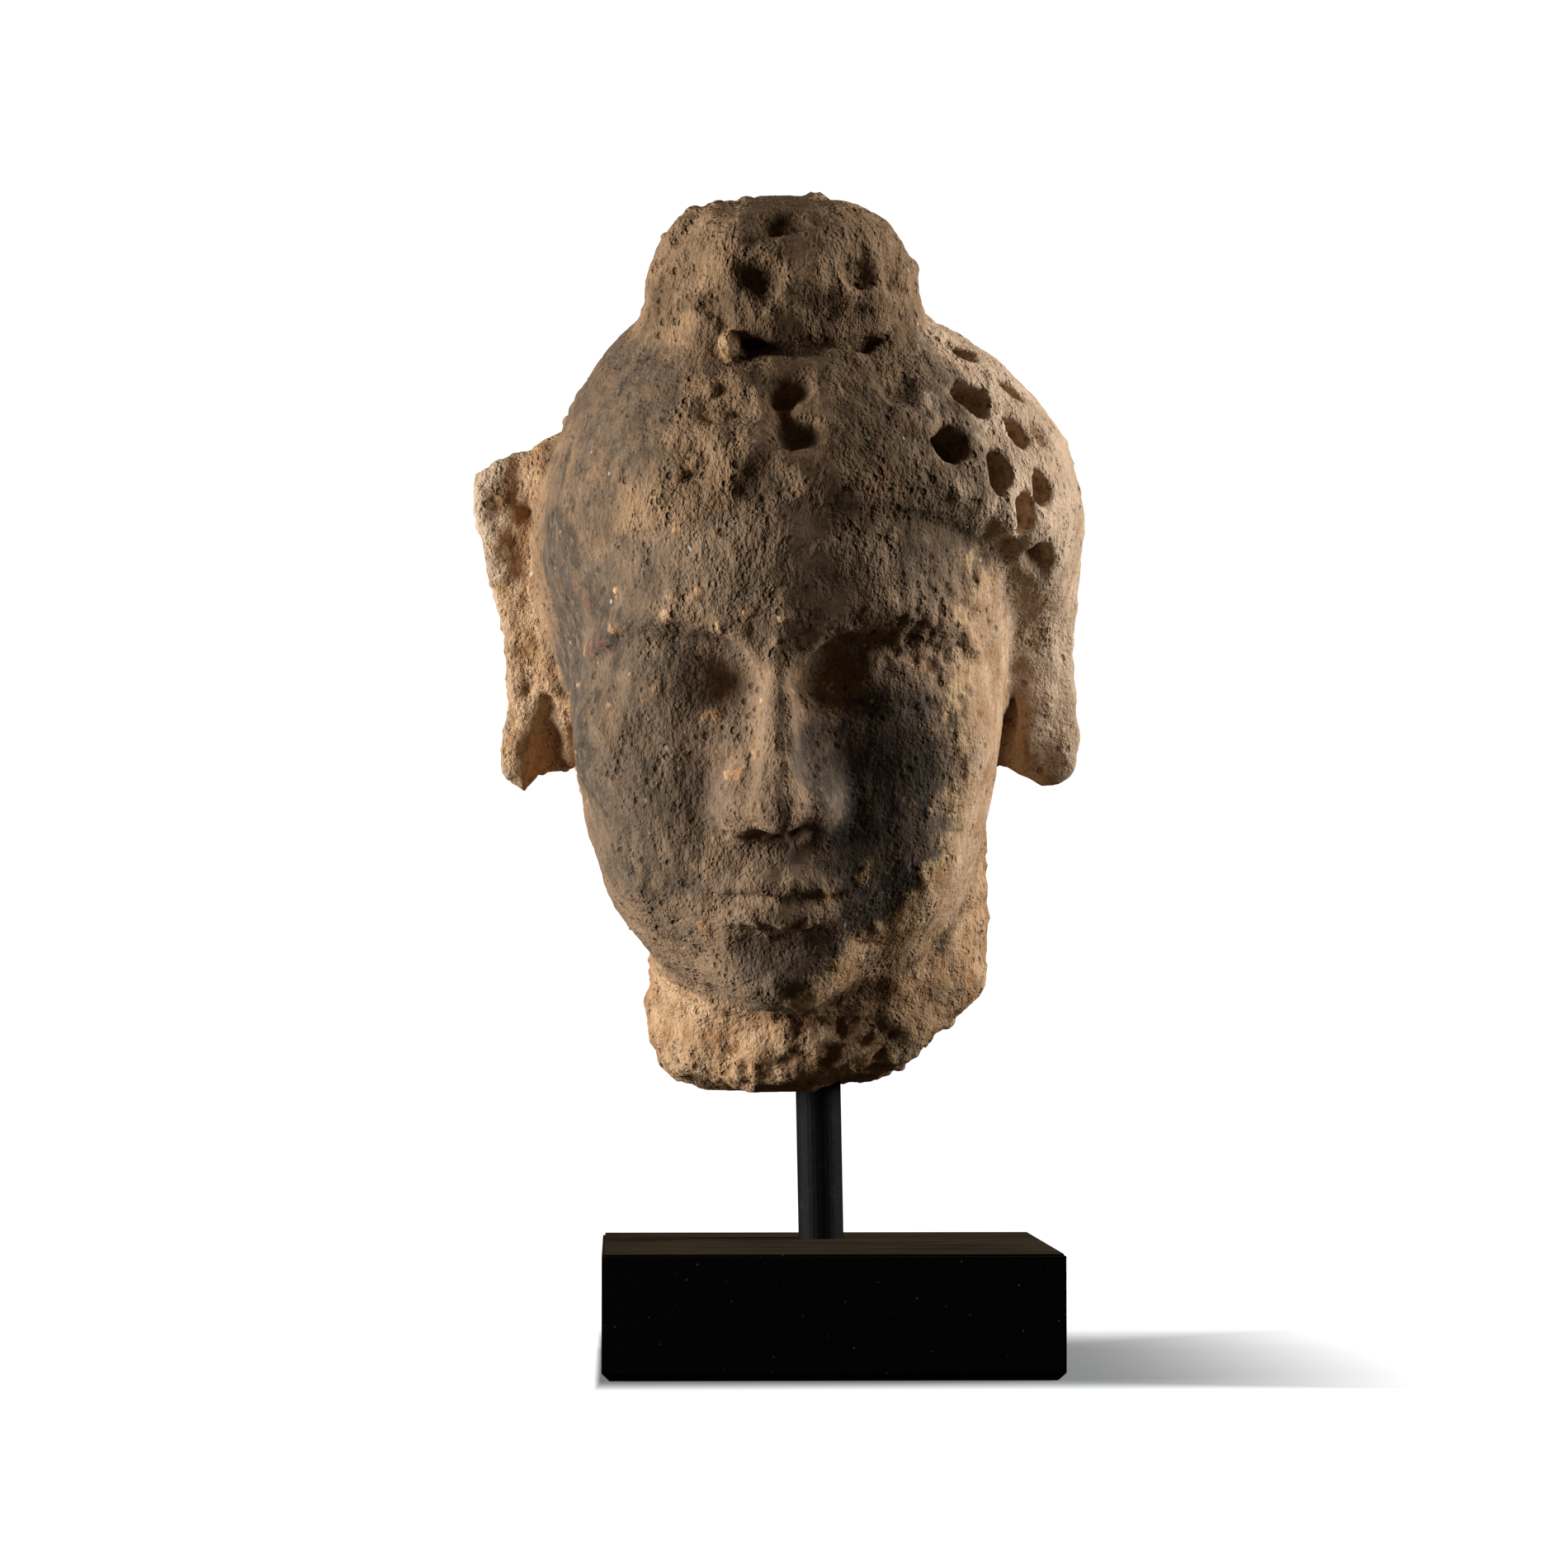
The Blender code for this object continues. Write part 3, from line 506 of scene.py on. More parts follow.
def neck(p):
    """A stump with a rough, rounded break. It stands upright whatever the tilt of the head."""
    x, y = NECK_CENTRE
    across = np.hypot((p[:, 0] - x) / 35.0, (p[:, 1] - y) / 31.0)
    rough = ripple(p, 9.0)
    side = (across - 1.0) * 32.0 + 0.7 * rough * ramp(-p[:, 2], 60.0, 75.0)
    foot = CARVED_FOOT + 1.0 + 1.4 * rough + 2.2 * ramp(p[:, 0], 4.0, 14.0)
    stump = keep(side, foot - p[:, 2], 12.0)
    stump = keep(stump, p[:, 2] + 20.0, 4.0)
    chip = 0.66 * (p[:, 0] - 37.0) - 0.75 * (p[:, 2] + 77.0) + 1.0 * rough
    return keep(stump, chip, 3.0)


# How the head sits on its neck
HEAD_OFFSET = np.array((1.0, -3.0, -1.0))
HEAD_TURN = Matrix.Rotation(math.radians(-HEAD_TURN_DEG), 3, "Z")
HEAD_TILT = Matrix.Rotation(math.radians(HEAD_TILT_DEG), 3, "X")
HEAD_ROTATION = np.array(HEAD_TURN @ HEAD_TILT)


def tilted(p):
    """Points of the upright frame as the tilted and turned head sees them."""
    return (p - HEAD_OFFSET) @ HEAD_ROTATION


def upright(q):
    """Takes points back from the frame of the tilted head."""
    return q @ HEAD_ROTATION.T + HEAD_OFFSET


def unbored(q):
    """The whole head before its holes, for points in the frame of the tilted head."""
    shape = knot(q, hair(q, face(q)))
    p = upright(q)
    return ears(p, add(shape, neck(p), 6.0))


def bored(p, shape):
    """Cuts the holes of the hair and the knot, with uneven rims."""
    p = p + 0.8 * np.stack([ripple(p + shift, 5.0) for shift in (0.0, 9.0, 21.0)], axis=1)
    for centre, holes in ((HAIR_CENTRE, FRONT_HOLES), (KNOT_CENTRE, KNOT_HOLES)):
        for x, z, width, height, depth in holes:
            at = met(unbored, (x, FRONT_WAY[0], z), (x, FRONT_WAY[1], z))
            shape = hole(p, shape, at, centre, width, height, depth)
    shape = rows(p, shape, hair_form, HAIR_CENTRE, SIDE_ROWS, SIDE_HOLE)
    return rows(p, shape, knot_form, KNOT_CENTRE, KNOT_ROWS, KNOT_SIDE_HOLE)


def head_field(p):
    """The whole head with its holes, for upright points: negative inside, positive outside."""
    q = tilted(p)
    return np.maximum(bored(q, unbored(q)), CARVED_FOOT - p[:, 2])


# From a field to a mesh

def sampled(field, low, cell, counts):
    """The field at every corner of a grid. Far from the surface, one reading serves a block of corners."""
    block = 4
    block_counts = [-(-n // block) for n in counts]
    axes = [low[a] + cell * (block * np.arange(block_counts[a]) + (block - 1) / 2.0) for a in range(3)]
    centres = np.stack(np.meshgrid(*axes, indexing="ij"), axis=-1).reshape(-1, 3)
    values = field(centres).reshape(block_counts)
    for a in range(3):
        values = np.repeat(values, block, axis=a)
    values = values[: counts[0], : counts[1], : counts[2]].copy()
    near = np.argwhere(np.abs(values) < cell * block * 1.5)
    values[tuple(near.T)] = field(np.array(low) + near * cell)
    return values


CORNERS = [(i, j, k) for i in (0, 1) for j in (0, 1) for k in (0, 1)]
# The corners of each side of a grid cell, as places in CORNERS
SIDES = [[n for n, corner in enumerate(CORNERS) if corner[axis] == s] for axis in range(3) for s in (0, 1)]


def crossed_cells(values):
    """The cells that the surface passes through."""
    inside = values < 0.0
    counts = [n - 1 for n in values.shape]
    filled = np.zeros(counts, dtype=int)
    for corner in CORNERS:
        filled += inside[tuple(slice(c, c + n) for c, n in zip(corner, counts))]
    return np.argwhere((filled > 0) & (filled < len(CORNERS)))


def one_skin(values, cell):
    """Fills the cells in which the form would only touch itself, along an edge or at a corner."""
    values = values.copy()
    while True:
        crossed = crossed_cells(values)
        corner = np.stack([values[tuple((crossed + c).T)] < 0.0 for c in CORNERS])
        pinched = np.zeros(len(crossed), dtype=bool)
        for a, b, c, d in SIDES:
            pinched |= (corner[a] == corner[d]) & (corner[b] == corner[c]) & (corner[a] != corner[b])
        for n in range(4):
            alone = (corner[n] == corner[7 - n]) & (corner.sum(axis=0) == np.where(corner[n], 2, 6))
            pinched |= alone
        if not pinched.any():
            return values
        for c in CORNERS:
            place = tuple((crossed[pinched] + c).T)
            values[place] = np.minimum(values[place], -0.05 * cell)


def net(values, low, cell):
    """Vertices and four-sided faces of the surface where the sampled field is zero."""
    inside = values < 0.0
    crossed = crossed_cells(values)
    index = np.full(values.shape, -1, dtype=np.int64)
    index[tuple(crossed.T)] = np.arange(len(crossed))
    total = np.zeros((len(crossed), 3))
    hits = np.zeros(len(crossed))
    for start in CORNERS:
        for axis in range(3):
            if start[axis]:
                continue
            end = tuple(c + (a == axis) for a, c in enumerate(start))
            v0 = values[tuple((crossed + start).T)]
            v1 = values[tuple((crossed + end).T)]
            hit = (v0 < 0.0) != (v1 < 0.0)
            share = np.where(hit, v0 / np.where(hit, v0 - v1, 1.0), 0.0)
            point = np.array(start) + share[:, None] * (np.array(end) - np.array(start))
            total += np.where(hit[:, None], point, 0.0)
            hits += hit
    vertices = np.array(low) + cell * (crossed + total / hits[:, None])
    faces = []
    for axis in range(3):
        step = np.eye(3, dtype=int)
        u, v = step[(axis + 1) % 3], step[(axis + 2) % 3]
        first = np.argwhere(np.diff(inside.astype(np.int8), axis=axis) != 0)
        goes_in = inside[tuple((first + step[axis]).T)]
        ring = [index[tuple((first - a * u - b * v).T)] for a, b in ((0, 0), (1, 0), (1, 1), (0, 1))]
        quads = np.stack(ring, axis=1)
        faces.append(np.where(goes_in[:, None], quads, quads[:, ::-1]))
    return vertices, np.concatenate(faces)


def largest_piece(vertices, faces):
    """Leaves out specks and sealed hollows, which no face joins to the rest."""
    label = np.arange(len(vertices))
    while True:
        joined = label.copy()
        np.minimum.at(joined, faces.ravel(), np.repeat(label[faces].min(axis=1), 4))
        joined = joined[joined]
        if (joined == label).all():
            break
        label = joined
    kept = label == np.bincount(label).argmax()
    number = np.cumsum(kept) - 1
    return vertices[kept], number[faces[kept[faces[:, 0]]]]


def settled(field, points, rounds=2):
    """Moves points onto the surface of the field."""
    nudge = 0.05
    for _ in range(rounds):
        value = field(points)
        slope = np.stack([(field(points + nudge * axis) - value) / nudge for axis in np.eye(3)], axis=1)
        size = np.maximum((slope ** 2).sum(axis=1), 0.25)
        points = points - np.clip(value / size, -1.0, 1.0)[:, None] * slope
    return points


# How far the grid reaches in x and y, and above the crown
GRID_LOW = (-70.0, -78.0)
GRID_HIGH = (74.0, 72.0)
GRID_ABOVE = 8.0


def head_mesh(cell):
    """The head in carving units, as vertices and four-sided faces."""
    low = (*GRID_LOW, CARVED_FOOT - 2.0 * cell)
    high = (*GRID_HIGH, CARVED_FOOT + CARVED_HEIGHT + GRID_ABOVE)
    counts = [int(math.ceil((b - a) / cell)) + 1 for a, b in zip(low, high)]
    values = one_skin(sampled(bored_head, low, cell, counts), cell)
    vertices, faces = largest_piece(*net(values, low, cell))
    return settled(bored_head, vertices), faces


# Wear. These take points and give a share from 0 to 1, or a depth in carving units.

def rough_noise(p, size, octaves=3, shift=0.0):
    """Soft noise between about -1 and 1 whose largest features are size across."""
    places = (p / size + shift).tolist()
    return np.array([noise.fractal(place, 0.9, 2.1, octaves) for place in places]) * 1.6


def cells(p, size, shift=0.0):
    """How far each point is from the middle of its nearest grain, and how much further from the next."""
    near = np.array([noise.voronoi(place)[0] for place in (p / size + shift).tolist()])
    return near[:, 0], near[:, 1] - near[:, 0]


def patch(p, centre, radii, ragged, edge):
    """1 inside an oval patch of the surface and 0 outside. The number or noise in ragged moves its edge."""
    return ramp(-ellipsoid(p, centre, radii) + ragged, -edge, edge)


def head_parts(p):
    """Which part of the head each point of the surface belongs to, in shares, and whether it is in a pit."""
    q = tilted(p)
    on_neck = ramp(-neck(p), -1.6, 0.2)
    on_knot = ramp(-knot_form(q), -4.5, -0.5) * ramp(q[:, 2], 62.0, 66.0)
    bare = face(q)
    on_face = ramp(-bare, -1.3, -0.3) * (1.0 - on_neck)
    capped = hair(q, bare.copy())
    on_hair = ramp(bare - capped, 0.1, 0.9) * (1.0 - on_knot)
    on_ear = (1.0 - on_face) * (1.0 - on_neck) * (1.0 - on_knot) * (1.0 - ramp(-capped, -2.0, -0.5))
    pitted = ramp(-add(capped, knot_form(q), 1.2), 0.9, 3.0) * (1.0 - on_ear)
    return {"face": on_face, "hair": on_hair, "knot": on_knot, "neck": on_neck, "ear": on_ear, "pit": pitted}


# Dark patina, grime with painted shade, and ochre ground where the coat is gone: middle, radii, strength
PATINA = (
    ((-43.0, -30.0, -8.0), (9.0, 30.0, 36.0), 1.0),
    ((-34.0, -38.0, -42.0), (17.0, 30.0, 28.0), 0.4),
    ((-30.0, -38.0, -14.0), (24.0, 30.0, 44.0), 0.65),
    ((-36.0, -12.0, 58.0), (14.0, 28.0, 9.0), 0.8),
    ((-36.0, -28.0, 24.0), (15.0, 30.0, 17.0), 0.7),
    ((19.0, -44.0, -36.0), (18.0, 24.0, 27.0), 1.0),
    ((4.0, -48.0, -66.0), (20.0, 24.0, 9.0), 0.7),
    ((24.0, -40.0, 20.0), (13.0, 20.0, 14.0), 0.8),
    ((-30.0, -24.0, 42.0), (19.0, 36.0, 23.0), 0.8),
    ((20.0, -46.0, 40.0), (18.0, 22.0, 12.0), 0.6),
    ((-2.0, -52.0, 10.0), (18.0, 20.0, 12.0), 0.4),
)
# The grime patches are partly dirt and partly painted shade, on the knot, the hair over the brow, the +X
# brow and the foot of the neck, which lie between the two lamps.
GRIME_AND_SHADE = (
    ((7.0, -42.0, 56.0), (24.0, 24.0, 13.0), 0.9),
    ((-1.0, -40.0, 66.0), (34.0, 22.0, 5.0), 0.8),
    ((-1.0, -40.0, 84.0), (13.0, 18.0, 14.0), 0.8),
    ((-21.0, -36.0, 76.0), (15.0, 22.0, 16.0), 0.4),
    ((18.0, -36.0, 78.0), (15.0, 24.0, 18.0), 0.55),
    ((22.0, -18.0, -76.0), (24.0, 24.0, 20.0), 0.6),
    ((20.0, -52.0, 32.0), (23.0, 22.0, 16.0), 0.9),
)
OCHRE = (
    ((4.0, -55.0, -56.0), (10.0, 10.0, 6.0), 0.9),
    ((38.0, -24.0, -50.0), (9.0, 22.0, 16.0), 0.6),
    ((-46.0, -12.0, -34.0), (5.0, 22.0, 34.0), 0.9),
)
# Where the coat of the face ends: height and x on the +X side, and y beside the ear on the -X side
COAT_EDGE = ((-73.5, 1.2), (-52.0, 27.1), (-38.0, 34.9), (-16.0, 34.1), (28.0, 42.0))
COAT_BACK = -3.5
# A distance from the edge of the coat that stands for none nearby
NO_EDGE = 20.0
# Chips at the temple of the +X side: middle, radii
CHIPS = ((28.0, -36.0, 0.0), (13.0, 20.0, 17.0))
# The pebble stays free of grime and painted shade this far from its middle.
CLEAN_RADII = (3.4, 3.6, 3.6)


def painted(p, patches, ragged, edge):
    """The strongest of several patches at each point."""
    shares = [strength * patch(p, at, radii, ragged, edge) for at, radii, strength in patches]
    return np.maximum.reduce(shares)


def masks(p):
    """What the material and the relief need to know at each point, from 0 to 1."""
    parts = head_parts(p)
    broad = rough_noise(p, 16.0, 4)
    fine = rough_noise(p, 5.0, 3, 7.3)
    heights, places = np.array(COAT_EDGE).T
    beside_ear = np.where(p[:, 0] < 0.0, COAT_BACK - p[:, 1], NO_EDGE)
    edge = np.minimum(np.interp(p[:, 2], heights, places) - p[:, 0], beside_ear)
    coat = parts["face"] * ramp(edge + 2.5 * fine, -0.6, 0.6) * ramp(1.05 * fine + 0.3 * broad, -1.25, -1.1)
    patina = painted(p, PATINA, 6.0 * broad + 3.0 * fine, 7.0) * np.maximum(coat, parts["hair"])
    # Grime and painted shade: the dark patches, and half as much in every pit and hole, where shade falls.
    grime_and_shade = np.maximum(painted(p, GRIME_AND_SHADE, 6.0 * broad + 3.0 * fine, 6.0), 0.5 * parts["pit"])
    grime_and_shade *= 1.0 - ramp(-ellipsoid(tilted(p), PEBBLE, CLEAN_RADII), -0.3, 0.3)
    bare = np.maximum(parts["neck"], parts["ear"])
    bare_cheek = parts["face"] * (1.0 - coat)
    line = (1.0 - ramp(np.abs(edge + 2.5 * fine), 0.6, 1.5)) * parts["face"]

    smooth = np.maximum.reduce([patina, 0.5 * coat, 0.75 * bare_cheek])
    rough = (1.0 - 0.8 * smooth) * (1.0 - 0.45 * ramp(p[:, 0], 40.0, 52.0))

    # Paler on the +X side, on the cheek and hair there, and at the outer edge of the -X ear: partly the
    # stucco's own paler tone, partly painted light where the side lamps fall.
    pale_and_lit_side = 0.4 * ramp(p[:, 0] + 8.0 * broad, 12.0, 34.0) + 0.6 * ramp(p[:, 0] + 3.0 * fine, 43.0, 51.0)
    pale_and_lit_hair = 0.45 * parts["hair"] * ramp(p[:, 0], 18.0, 34.0)
    worn_ear = 0.9 * ramp(-p[:, 0] + 3.0 * fine + 3.0 * broad, 53.0, 62.0)
    pale_and_lit_cheek = 0.55 * bare_cheek * ramp(p[:, 0], 24.0, 36.0)
    pale_and_lit = np.maximum.reduce([(pale_and_lit_side + pale_and_lit_hair) * (1.0 - parts["neck"]), worn_ear, pale_and_lit_cheek])

    low_neck = parts["neck"] * ramp(-p[:, 2] + 9.0 * broad + 4.0 * fine, 26.0, 52.0)
    stains = painted(p, OCHRE, 3.0 * fine, 4.0) * (1.0 - patina)
    ochre = np.maximum.reduce([low_neck, parts["ear"], stains, bare_cheek]) * (1.0 - 0.9 * pale_and_lit)
    return {
        "coat": coat,
        "patina": patina,
        "ochre": ochre,
        "pale_and_lit": pale_and_lit,
        "grime_and_shade": grime_and_shade,
        "line": line,
        "rough": rough,
        "bare": bare,
        "chips": patch(p, *CHIPS, 3.0 * fine, 3.0),
        "pit": parts["pit"],
    }


# The step at the edge of the coat, and what the wear takes off everywhere
COAT_STEP = 0.5
WORN_OFF = 0.35


def relief(p, mask):
    """How far the wear lifts the surface at each point. It is lowered where this is negative."""
    swell = 0.4 * rough_noise(p, 13.0, 2, 3.1)
    crumble = np.minimum(0.55 * rough_noise(p, 5.5, 5, 11.0), 0.4)
    middle, clear = cells(p, 5.5, 1.7)
    pocked = -0.9 * ramp(rough_noise(p, 9.0, 2, 19.0), 0.1, 0.5) * (1.0 - ramp(middle, 0.15, 0.42))
    pebbly = ramp(clear, 0.0, 0.5) * ramp(rough_noise(p, 11.0, 2, 29.0), -0.1, 0.4)
    near_break = 1.0 - ramp(p[:, 2], CARVED_FOOT + 8.0, CARVED_FOOT + 24.0)
    flake = ramp(clear, 0.02, 0.12) * ramp(rough_noise(p, 3.5, 2, 23.0), -0.5, 0.3)
    return (
        swell * (0.3 + 0.7 * mask["rough"])
        + (crumble * (0.8 + 0.5 * mask["bare"]) + pocked) * mask["rough"]
        + 1.5 * pebbly * near_break * mask["bare"]
        + COAT_STEP * mask["coat"]
        + 0.9 * flake * np.maximum(mask["chips"], 0.8 * mask["pit"])
        - WORN_OFF
    )


# The head piece

def bore(p):
    """The blind hole for the rod, in carving units: negative inside."""
    lean = math.radians(-ROD_LEAN_DEG)
    foot = np.array((*NECK_CENTRE, CARVED_FOOT))
    way = np.array((math.sin(lean), 0.0, math.cos(lean)))
    along = (p - foot) @ way
    side = lengths(p - foot - along[:, None] * way) - (ROD_DIAMETER / 2.0 + FIT_GAP) / UNIT
    return np.maximum(side, along - (ROD_IN_HEAD + FIT_GAP) / UNIT)


def bored_head(p):
    return np.maximum(head_field(p), -bore(p))


def normals(vertices, faces):
    """Unit normals of the vertices of a mesh of four-sided faces."""
    a, b, c, d = (vertices[faces[:, n]] for n in range(4))
    across = np.cross(c - a, d - b)
    total = np.zeros_like(vertices)
    for n in range(4):
        np.add.at(total, faces[:, n], across)
    return total / np.maximum(lengths(total), 1e-9)[:, None]


def placed(p):
    """Points of the carving, in metres in the frame."""
    lean = math.radians(-ROD_LEAN_DEG)
    foot = np.array((ROD_SHOWN * math.sin(lean), ROD_SETBACK, BASE_HEIGHT + ROD_SHOWN * math.cos(lean)))
    return foot + (p - np.array((*NECK_CENTRE, CARVED_FOOT))) * UNIT


# The masks that the material reads, and how near the hole for the rod the wear ends
STORED_MASKS = ("coat", "patina", "ochre", "pale_and_lit", "grime_and_shade", "line", "rough", "bare")
BORE_RIM = 0.3


def head_piece():
    """The worn head, in metres, kept inside the box of the head in CAD."""
    vertices, faces = head_mesh(CELL)
    in_bore = bore(vertices) < BORE_RIM
    mask = masks(vertices)
    depth = np.where(in_bore, 0.0, relief(vertices, mask))
    vertices = vertices + depth[:, None] * normals(vertices, faces)
    mesh = bpy.data.meshes.new("stucco_head")
    mesh.from_pydata(np.clip(placed(vertices), *HEAD_BOX).tolist(), [], faces.tolist())
    for name in STORED_MASKS:
        values = mesh.attributes.new(name, "FLOAT", "POINT")
        values.data.foreach_set("value", mask[name].astype(np.float32))
    mesh.shade_smooth()
    return put("stucco_head", mesh, stucco())


def put(name, mesh, look):
    made = bpy.data.objects.new(name, mesh)
    bpy.context.scene.collection.objects.link(made)
    mesh.materials.append(look)
    return made


# Materials

def node(tree, kind, values, out=0, **settings):
    """Adds a shader node. Each value is a number, a colour or another node's output."""
    made = tree.nodes.new("ShaderNode" + kind)
    for name, value in settings.items():
        setattr(made, name, value)
    for name, value in values.items():
        if isinstance(value, bpy.types.NodeSocket):
            tree.links.new(value, made.inputs[name])
        else:
            made.inputs[name].default_value = value
    return made.outputs[out]


def coordinates(tree):
    return node(tree, "TexCoord", {}, out="Object")


def grain(tree, size, detail=3.0, roughness=0.55, stretch=None):
    """Noise around 0.5 whose features are size across, in metres."""
    place = coordinates(tree)
    if stretch:
        place = node(tree, "Mapping", {"Vector": place, "Rotation": (0.3, 0.7, 0.2), "Scale": stretch})
    values = {"Vector": place, "Scale": 1.0 / size, "Detail": detail, "Roughness": roughness}
    return node(tree, "TexNoise", values)


def between(tree, value, low, high, to_low=0.0, to_high=1.0):
    """A smooth rise from to_low to to_high as value goes from low to high."""
    limits = {"Value": value, "From Min": low, "From Max": high, "To Min": to_low, "To Max": to_high}
    return node(tree, "MapRange", limits, interpolation_type="SMOOTHSTEP")


def calc(tree, operation, a, b):
    """Arithmetic on two numbers or outputs."""
    return node(tree, "Math", {0: a, 1: b}, operation=operation)


def mixed(tree, share, a, b, mode="MIX"):
    """Colour b over colour a by a share."""
    return node(tree, "Mix", {0: share, 6: a, 7: b}, out=2, data_type="RGBA", blend_type=mode)


def varied(tree, size, a, b):
    """A colour that drifts between two."""
    return mixed(tree, between(tree, grain(tree, size, 5.0), 0.36, 0.64), (*a, 1.0), (*b, 1.0))


def stored(tree, name):
    """One of the masks on the vertices of the head."""
    return node(tree, "Attribute", {}, out="Fac", attribute_name=name)


def surface(name, roughness, specular):
    """A new material, its tree and its shader."""
    made = bpy.data.materials.new(name)
    made.use_nodes = True
    shader = made.node_tree.nodes["Principled BSDF"]
    shader.inputs["Roughness"].default_value = roughness
    shader.inputs["Specular IOR Level"].default_value = specular
    return made, made.node_tree, shader


def join(tree, output, shader, name):
    tree.links.new(output, shader.inputs[name])


def bumped(tree, height, strength, distance):
    return node(tree, "Bump", {"Height": height, "Strength": strength, "Distance": distance}, out="Normal")


def broken(tree, name, size, width, low=0.3, high=0.7, stretch=None):
    """A stored mask with its edge broken up by grain."""
    noisy = calc(tree, "MULTIPLY", calc(tree, "SUBTRACT", grain(tree, size, 6.0, 0.65, stretch), 0.5), width)
    return between(tree, calc(tree, "ADD", stored(tree, name), noisy), low, high)


def dots(tree, count):
    """How far each place is from the middle of its dot, with count dots to the metre."""
    return node(tree, "TexVoronoi", {"Vector": coordinates(tree), "Scale": count})


def pores(tree, size, rarity):
    """1 in small round pores and 0 between them. Only some of the dots are pores."""
    some = between(tree, grain(tree, 3.0 * size, 2.0), rarity, rarity + 0.08)
    return calc(tree, "MULTIPLY", between(tree, dots(tree, 1.0 / size), 0.18, 0.42, 1.0, 0.0), some)


# The streaks of the brush or the weather run down.
STROKES = (1.0, 1.0, 0.55)


def stucco_colour(tree, pitted):
    """The bare stucco, and over it pale places with painted light, ochre places, coat, patina, grime with
    painted shade, stains, pores darkened with painted shade, and flecks.
    """
    colour = varied(tree, 0.016, (0.41, 0.253, 0.138), (0.30, 0.183, 0.10))
    # Pale places: paler stucco, and painted light on the lit sides.
    pale_and_lit = varied(tree, 0.009, (0.72, 0.515, 0.345), (0.56, 0.385, 0.245))
    colour = mixed(tree, broken(tree, "pale_and_lit", 0.006, 1.0), colour, pale_and_lit)
    ochre = varied(tree, 0.008, (0.70, 0.45, 0.255), (0.48, 0.265, 0.125))
    colour = mixed(tree, broken(tree, "ochre", 0.004, 0.9), colour, ochre)
    film = varied(tree, 0.012, (0.38, 0.245, 0.145), (0.28, 0.183, 0.11))
    colour = mixed(tree, broken(tree, "coat", 0.002, 0.5), colour, film)

    smoke = varied(tree, 0.007, (0.112, 0.086, 0.063), (0.066, 0.052, 0.039))
    dulled = broken(tree, "patina", 0.0045, 1.5, 0.15, 1.15, STROKES)
    colour = mixed(tree, calc(tree, "MULTIPLY", dulled, 0.95), colour, smoke)
    mottle = between(tree, grain(tree, 0.0016, 4.0, 0.7, STROKES), 0.5, 0.64, 0.0, 0.5)
    colour = mixed(tree, calc(tree, "MULTIPLY", mottle, dulled), colour, (0.34, 0.235, 0.145, 1.0))
    # Grime and painted shade darken the colour in the grime patches and the pits.
    dirt_and_shade = calc(tree, "MULTIPLY", broken(tree, "grime_and_shade", 0.005, 1.3, 0.1, 1.1), 0.8)
    colour = mixed(tree, dirt_and_shade, colour, varied(tree, 0.003, (0.10, 0.060, 0.029), (0.165, 0.103, 0.054)))

    line = between(tree, stored(tree, "line"), 0.2, 0.8, 0.0, 0.8)
    line = calc(tree, "MULTIPLY", line, between(tree, grain(tree, 0.006, 4.0), 0.4, 0.55))
    colour = mixed(tree, line, colour, (0.62, 0.42, 0.23, 1.0))
    stain = between(tree, grain(tree, 0.013, 4.0, 0.6), 0.62, 0.72, 0.0, 0.35)
    stain = calc(tree, "MULTIPLY", stain, between(tree, grain(tree, 0.002, 3.0), 0.4, 0.6))
    colour = mixed(tree, stain, colour, (0.42, 0.15, 0.085, 1.0))

    # A random speckle of tone, and painted shade that darkens the pores.
    speckle = between(tree, grain(tree, 0.0008, 3.0, 0.75), 0.3, 0.6, 0.78, 1.08)
    speckle_and_pore_shade = calc(tree, "MULTIPLY", speckle, between(tree, pitted, 0.0, 1.0, 1.0, 0.62))
    colour = mixed(tree, 1.0, colour, speckle_and_pore_shade, "MULTIPLY")
    fleck = between(tree, dots(tree, 130.0), 0.05, 0.075, 0.7, 0.0)
    return mixed(tree, fleck, colour, (0.62, 0.58, 0.50, 1.0))


def stucco_bump(tree, pitted):
    """Crumbs on the bare places, strokes on the others, grit, and the depth of the pores."""
    bare = stored(tree, "bare")
    covered = calc(tree, "SUBTRACT", 1.0, bare)
    crumbs = calc(tree, "MULTIPLY", grain(tree, 0.0026, 5.0, 0.65), bare)
    strokes = calc(tree, "MULTIPLY", grain(tree, 0.0035, 4.0, 0.6, STROKES), covered)
    coarse = calc(tree, "MULTIPLY", calc(tree, "ADD", crumbs, strokes), 0.9)
    grit = calc(tree, "MULTIPLY", grain(tree, 0.0009, 2.0, 0.6), 0.3)
    height = calc(tree, "SUBTRACT", calc(tree, "ADD", coarse, grit), calc(tree, "MULTIPLY", pitted, 0.35))
    strength = between(tree, stored(tree, "rough"), 0.0, 1.0, 0.35, 1.0)
    return bumped(tree, height, strength, 0.0021)


def stucco():
    made, tree, shader = surface("stucco_worn", 0.92, 0.2)
    small_pores = calc(tree, "MULTIPLY", pores(tree, 0.0012, 0.5), 0.6)
    pitted = calc(tree, "MAXIMUM", pores(tree, 0.0024, 0.52), small_pores)
    join(tree, stucco_colour(tree, pitted), shader, "Base Color")
    join(tree, stucco_bump(tree, pitted), shader, "Normal")
    return made


def black_paint():
    """Black paint on the rod, with a little dust."""
    made, tree, shader = surface("rod_paint", 0.6, 0.07)
    dust = between(tree, grain(tree, 0.003, 6.0, 0.7), 0.5, 0.8, 0.0, 0.3)
    colour = mixed(tree, dust, (0.006, 0.006, 0.006, 1.0), (0.05, 0.045, 0.036, 1.0))
    join(tree, colour, shader, "Base Color")
    join(tree, bumped(tree, grain(tree, 0.0012, 3.0), 0.5, 0.0002), shader, "Normal")
    return made


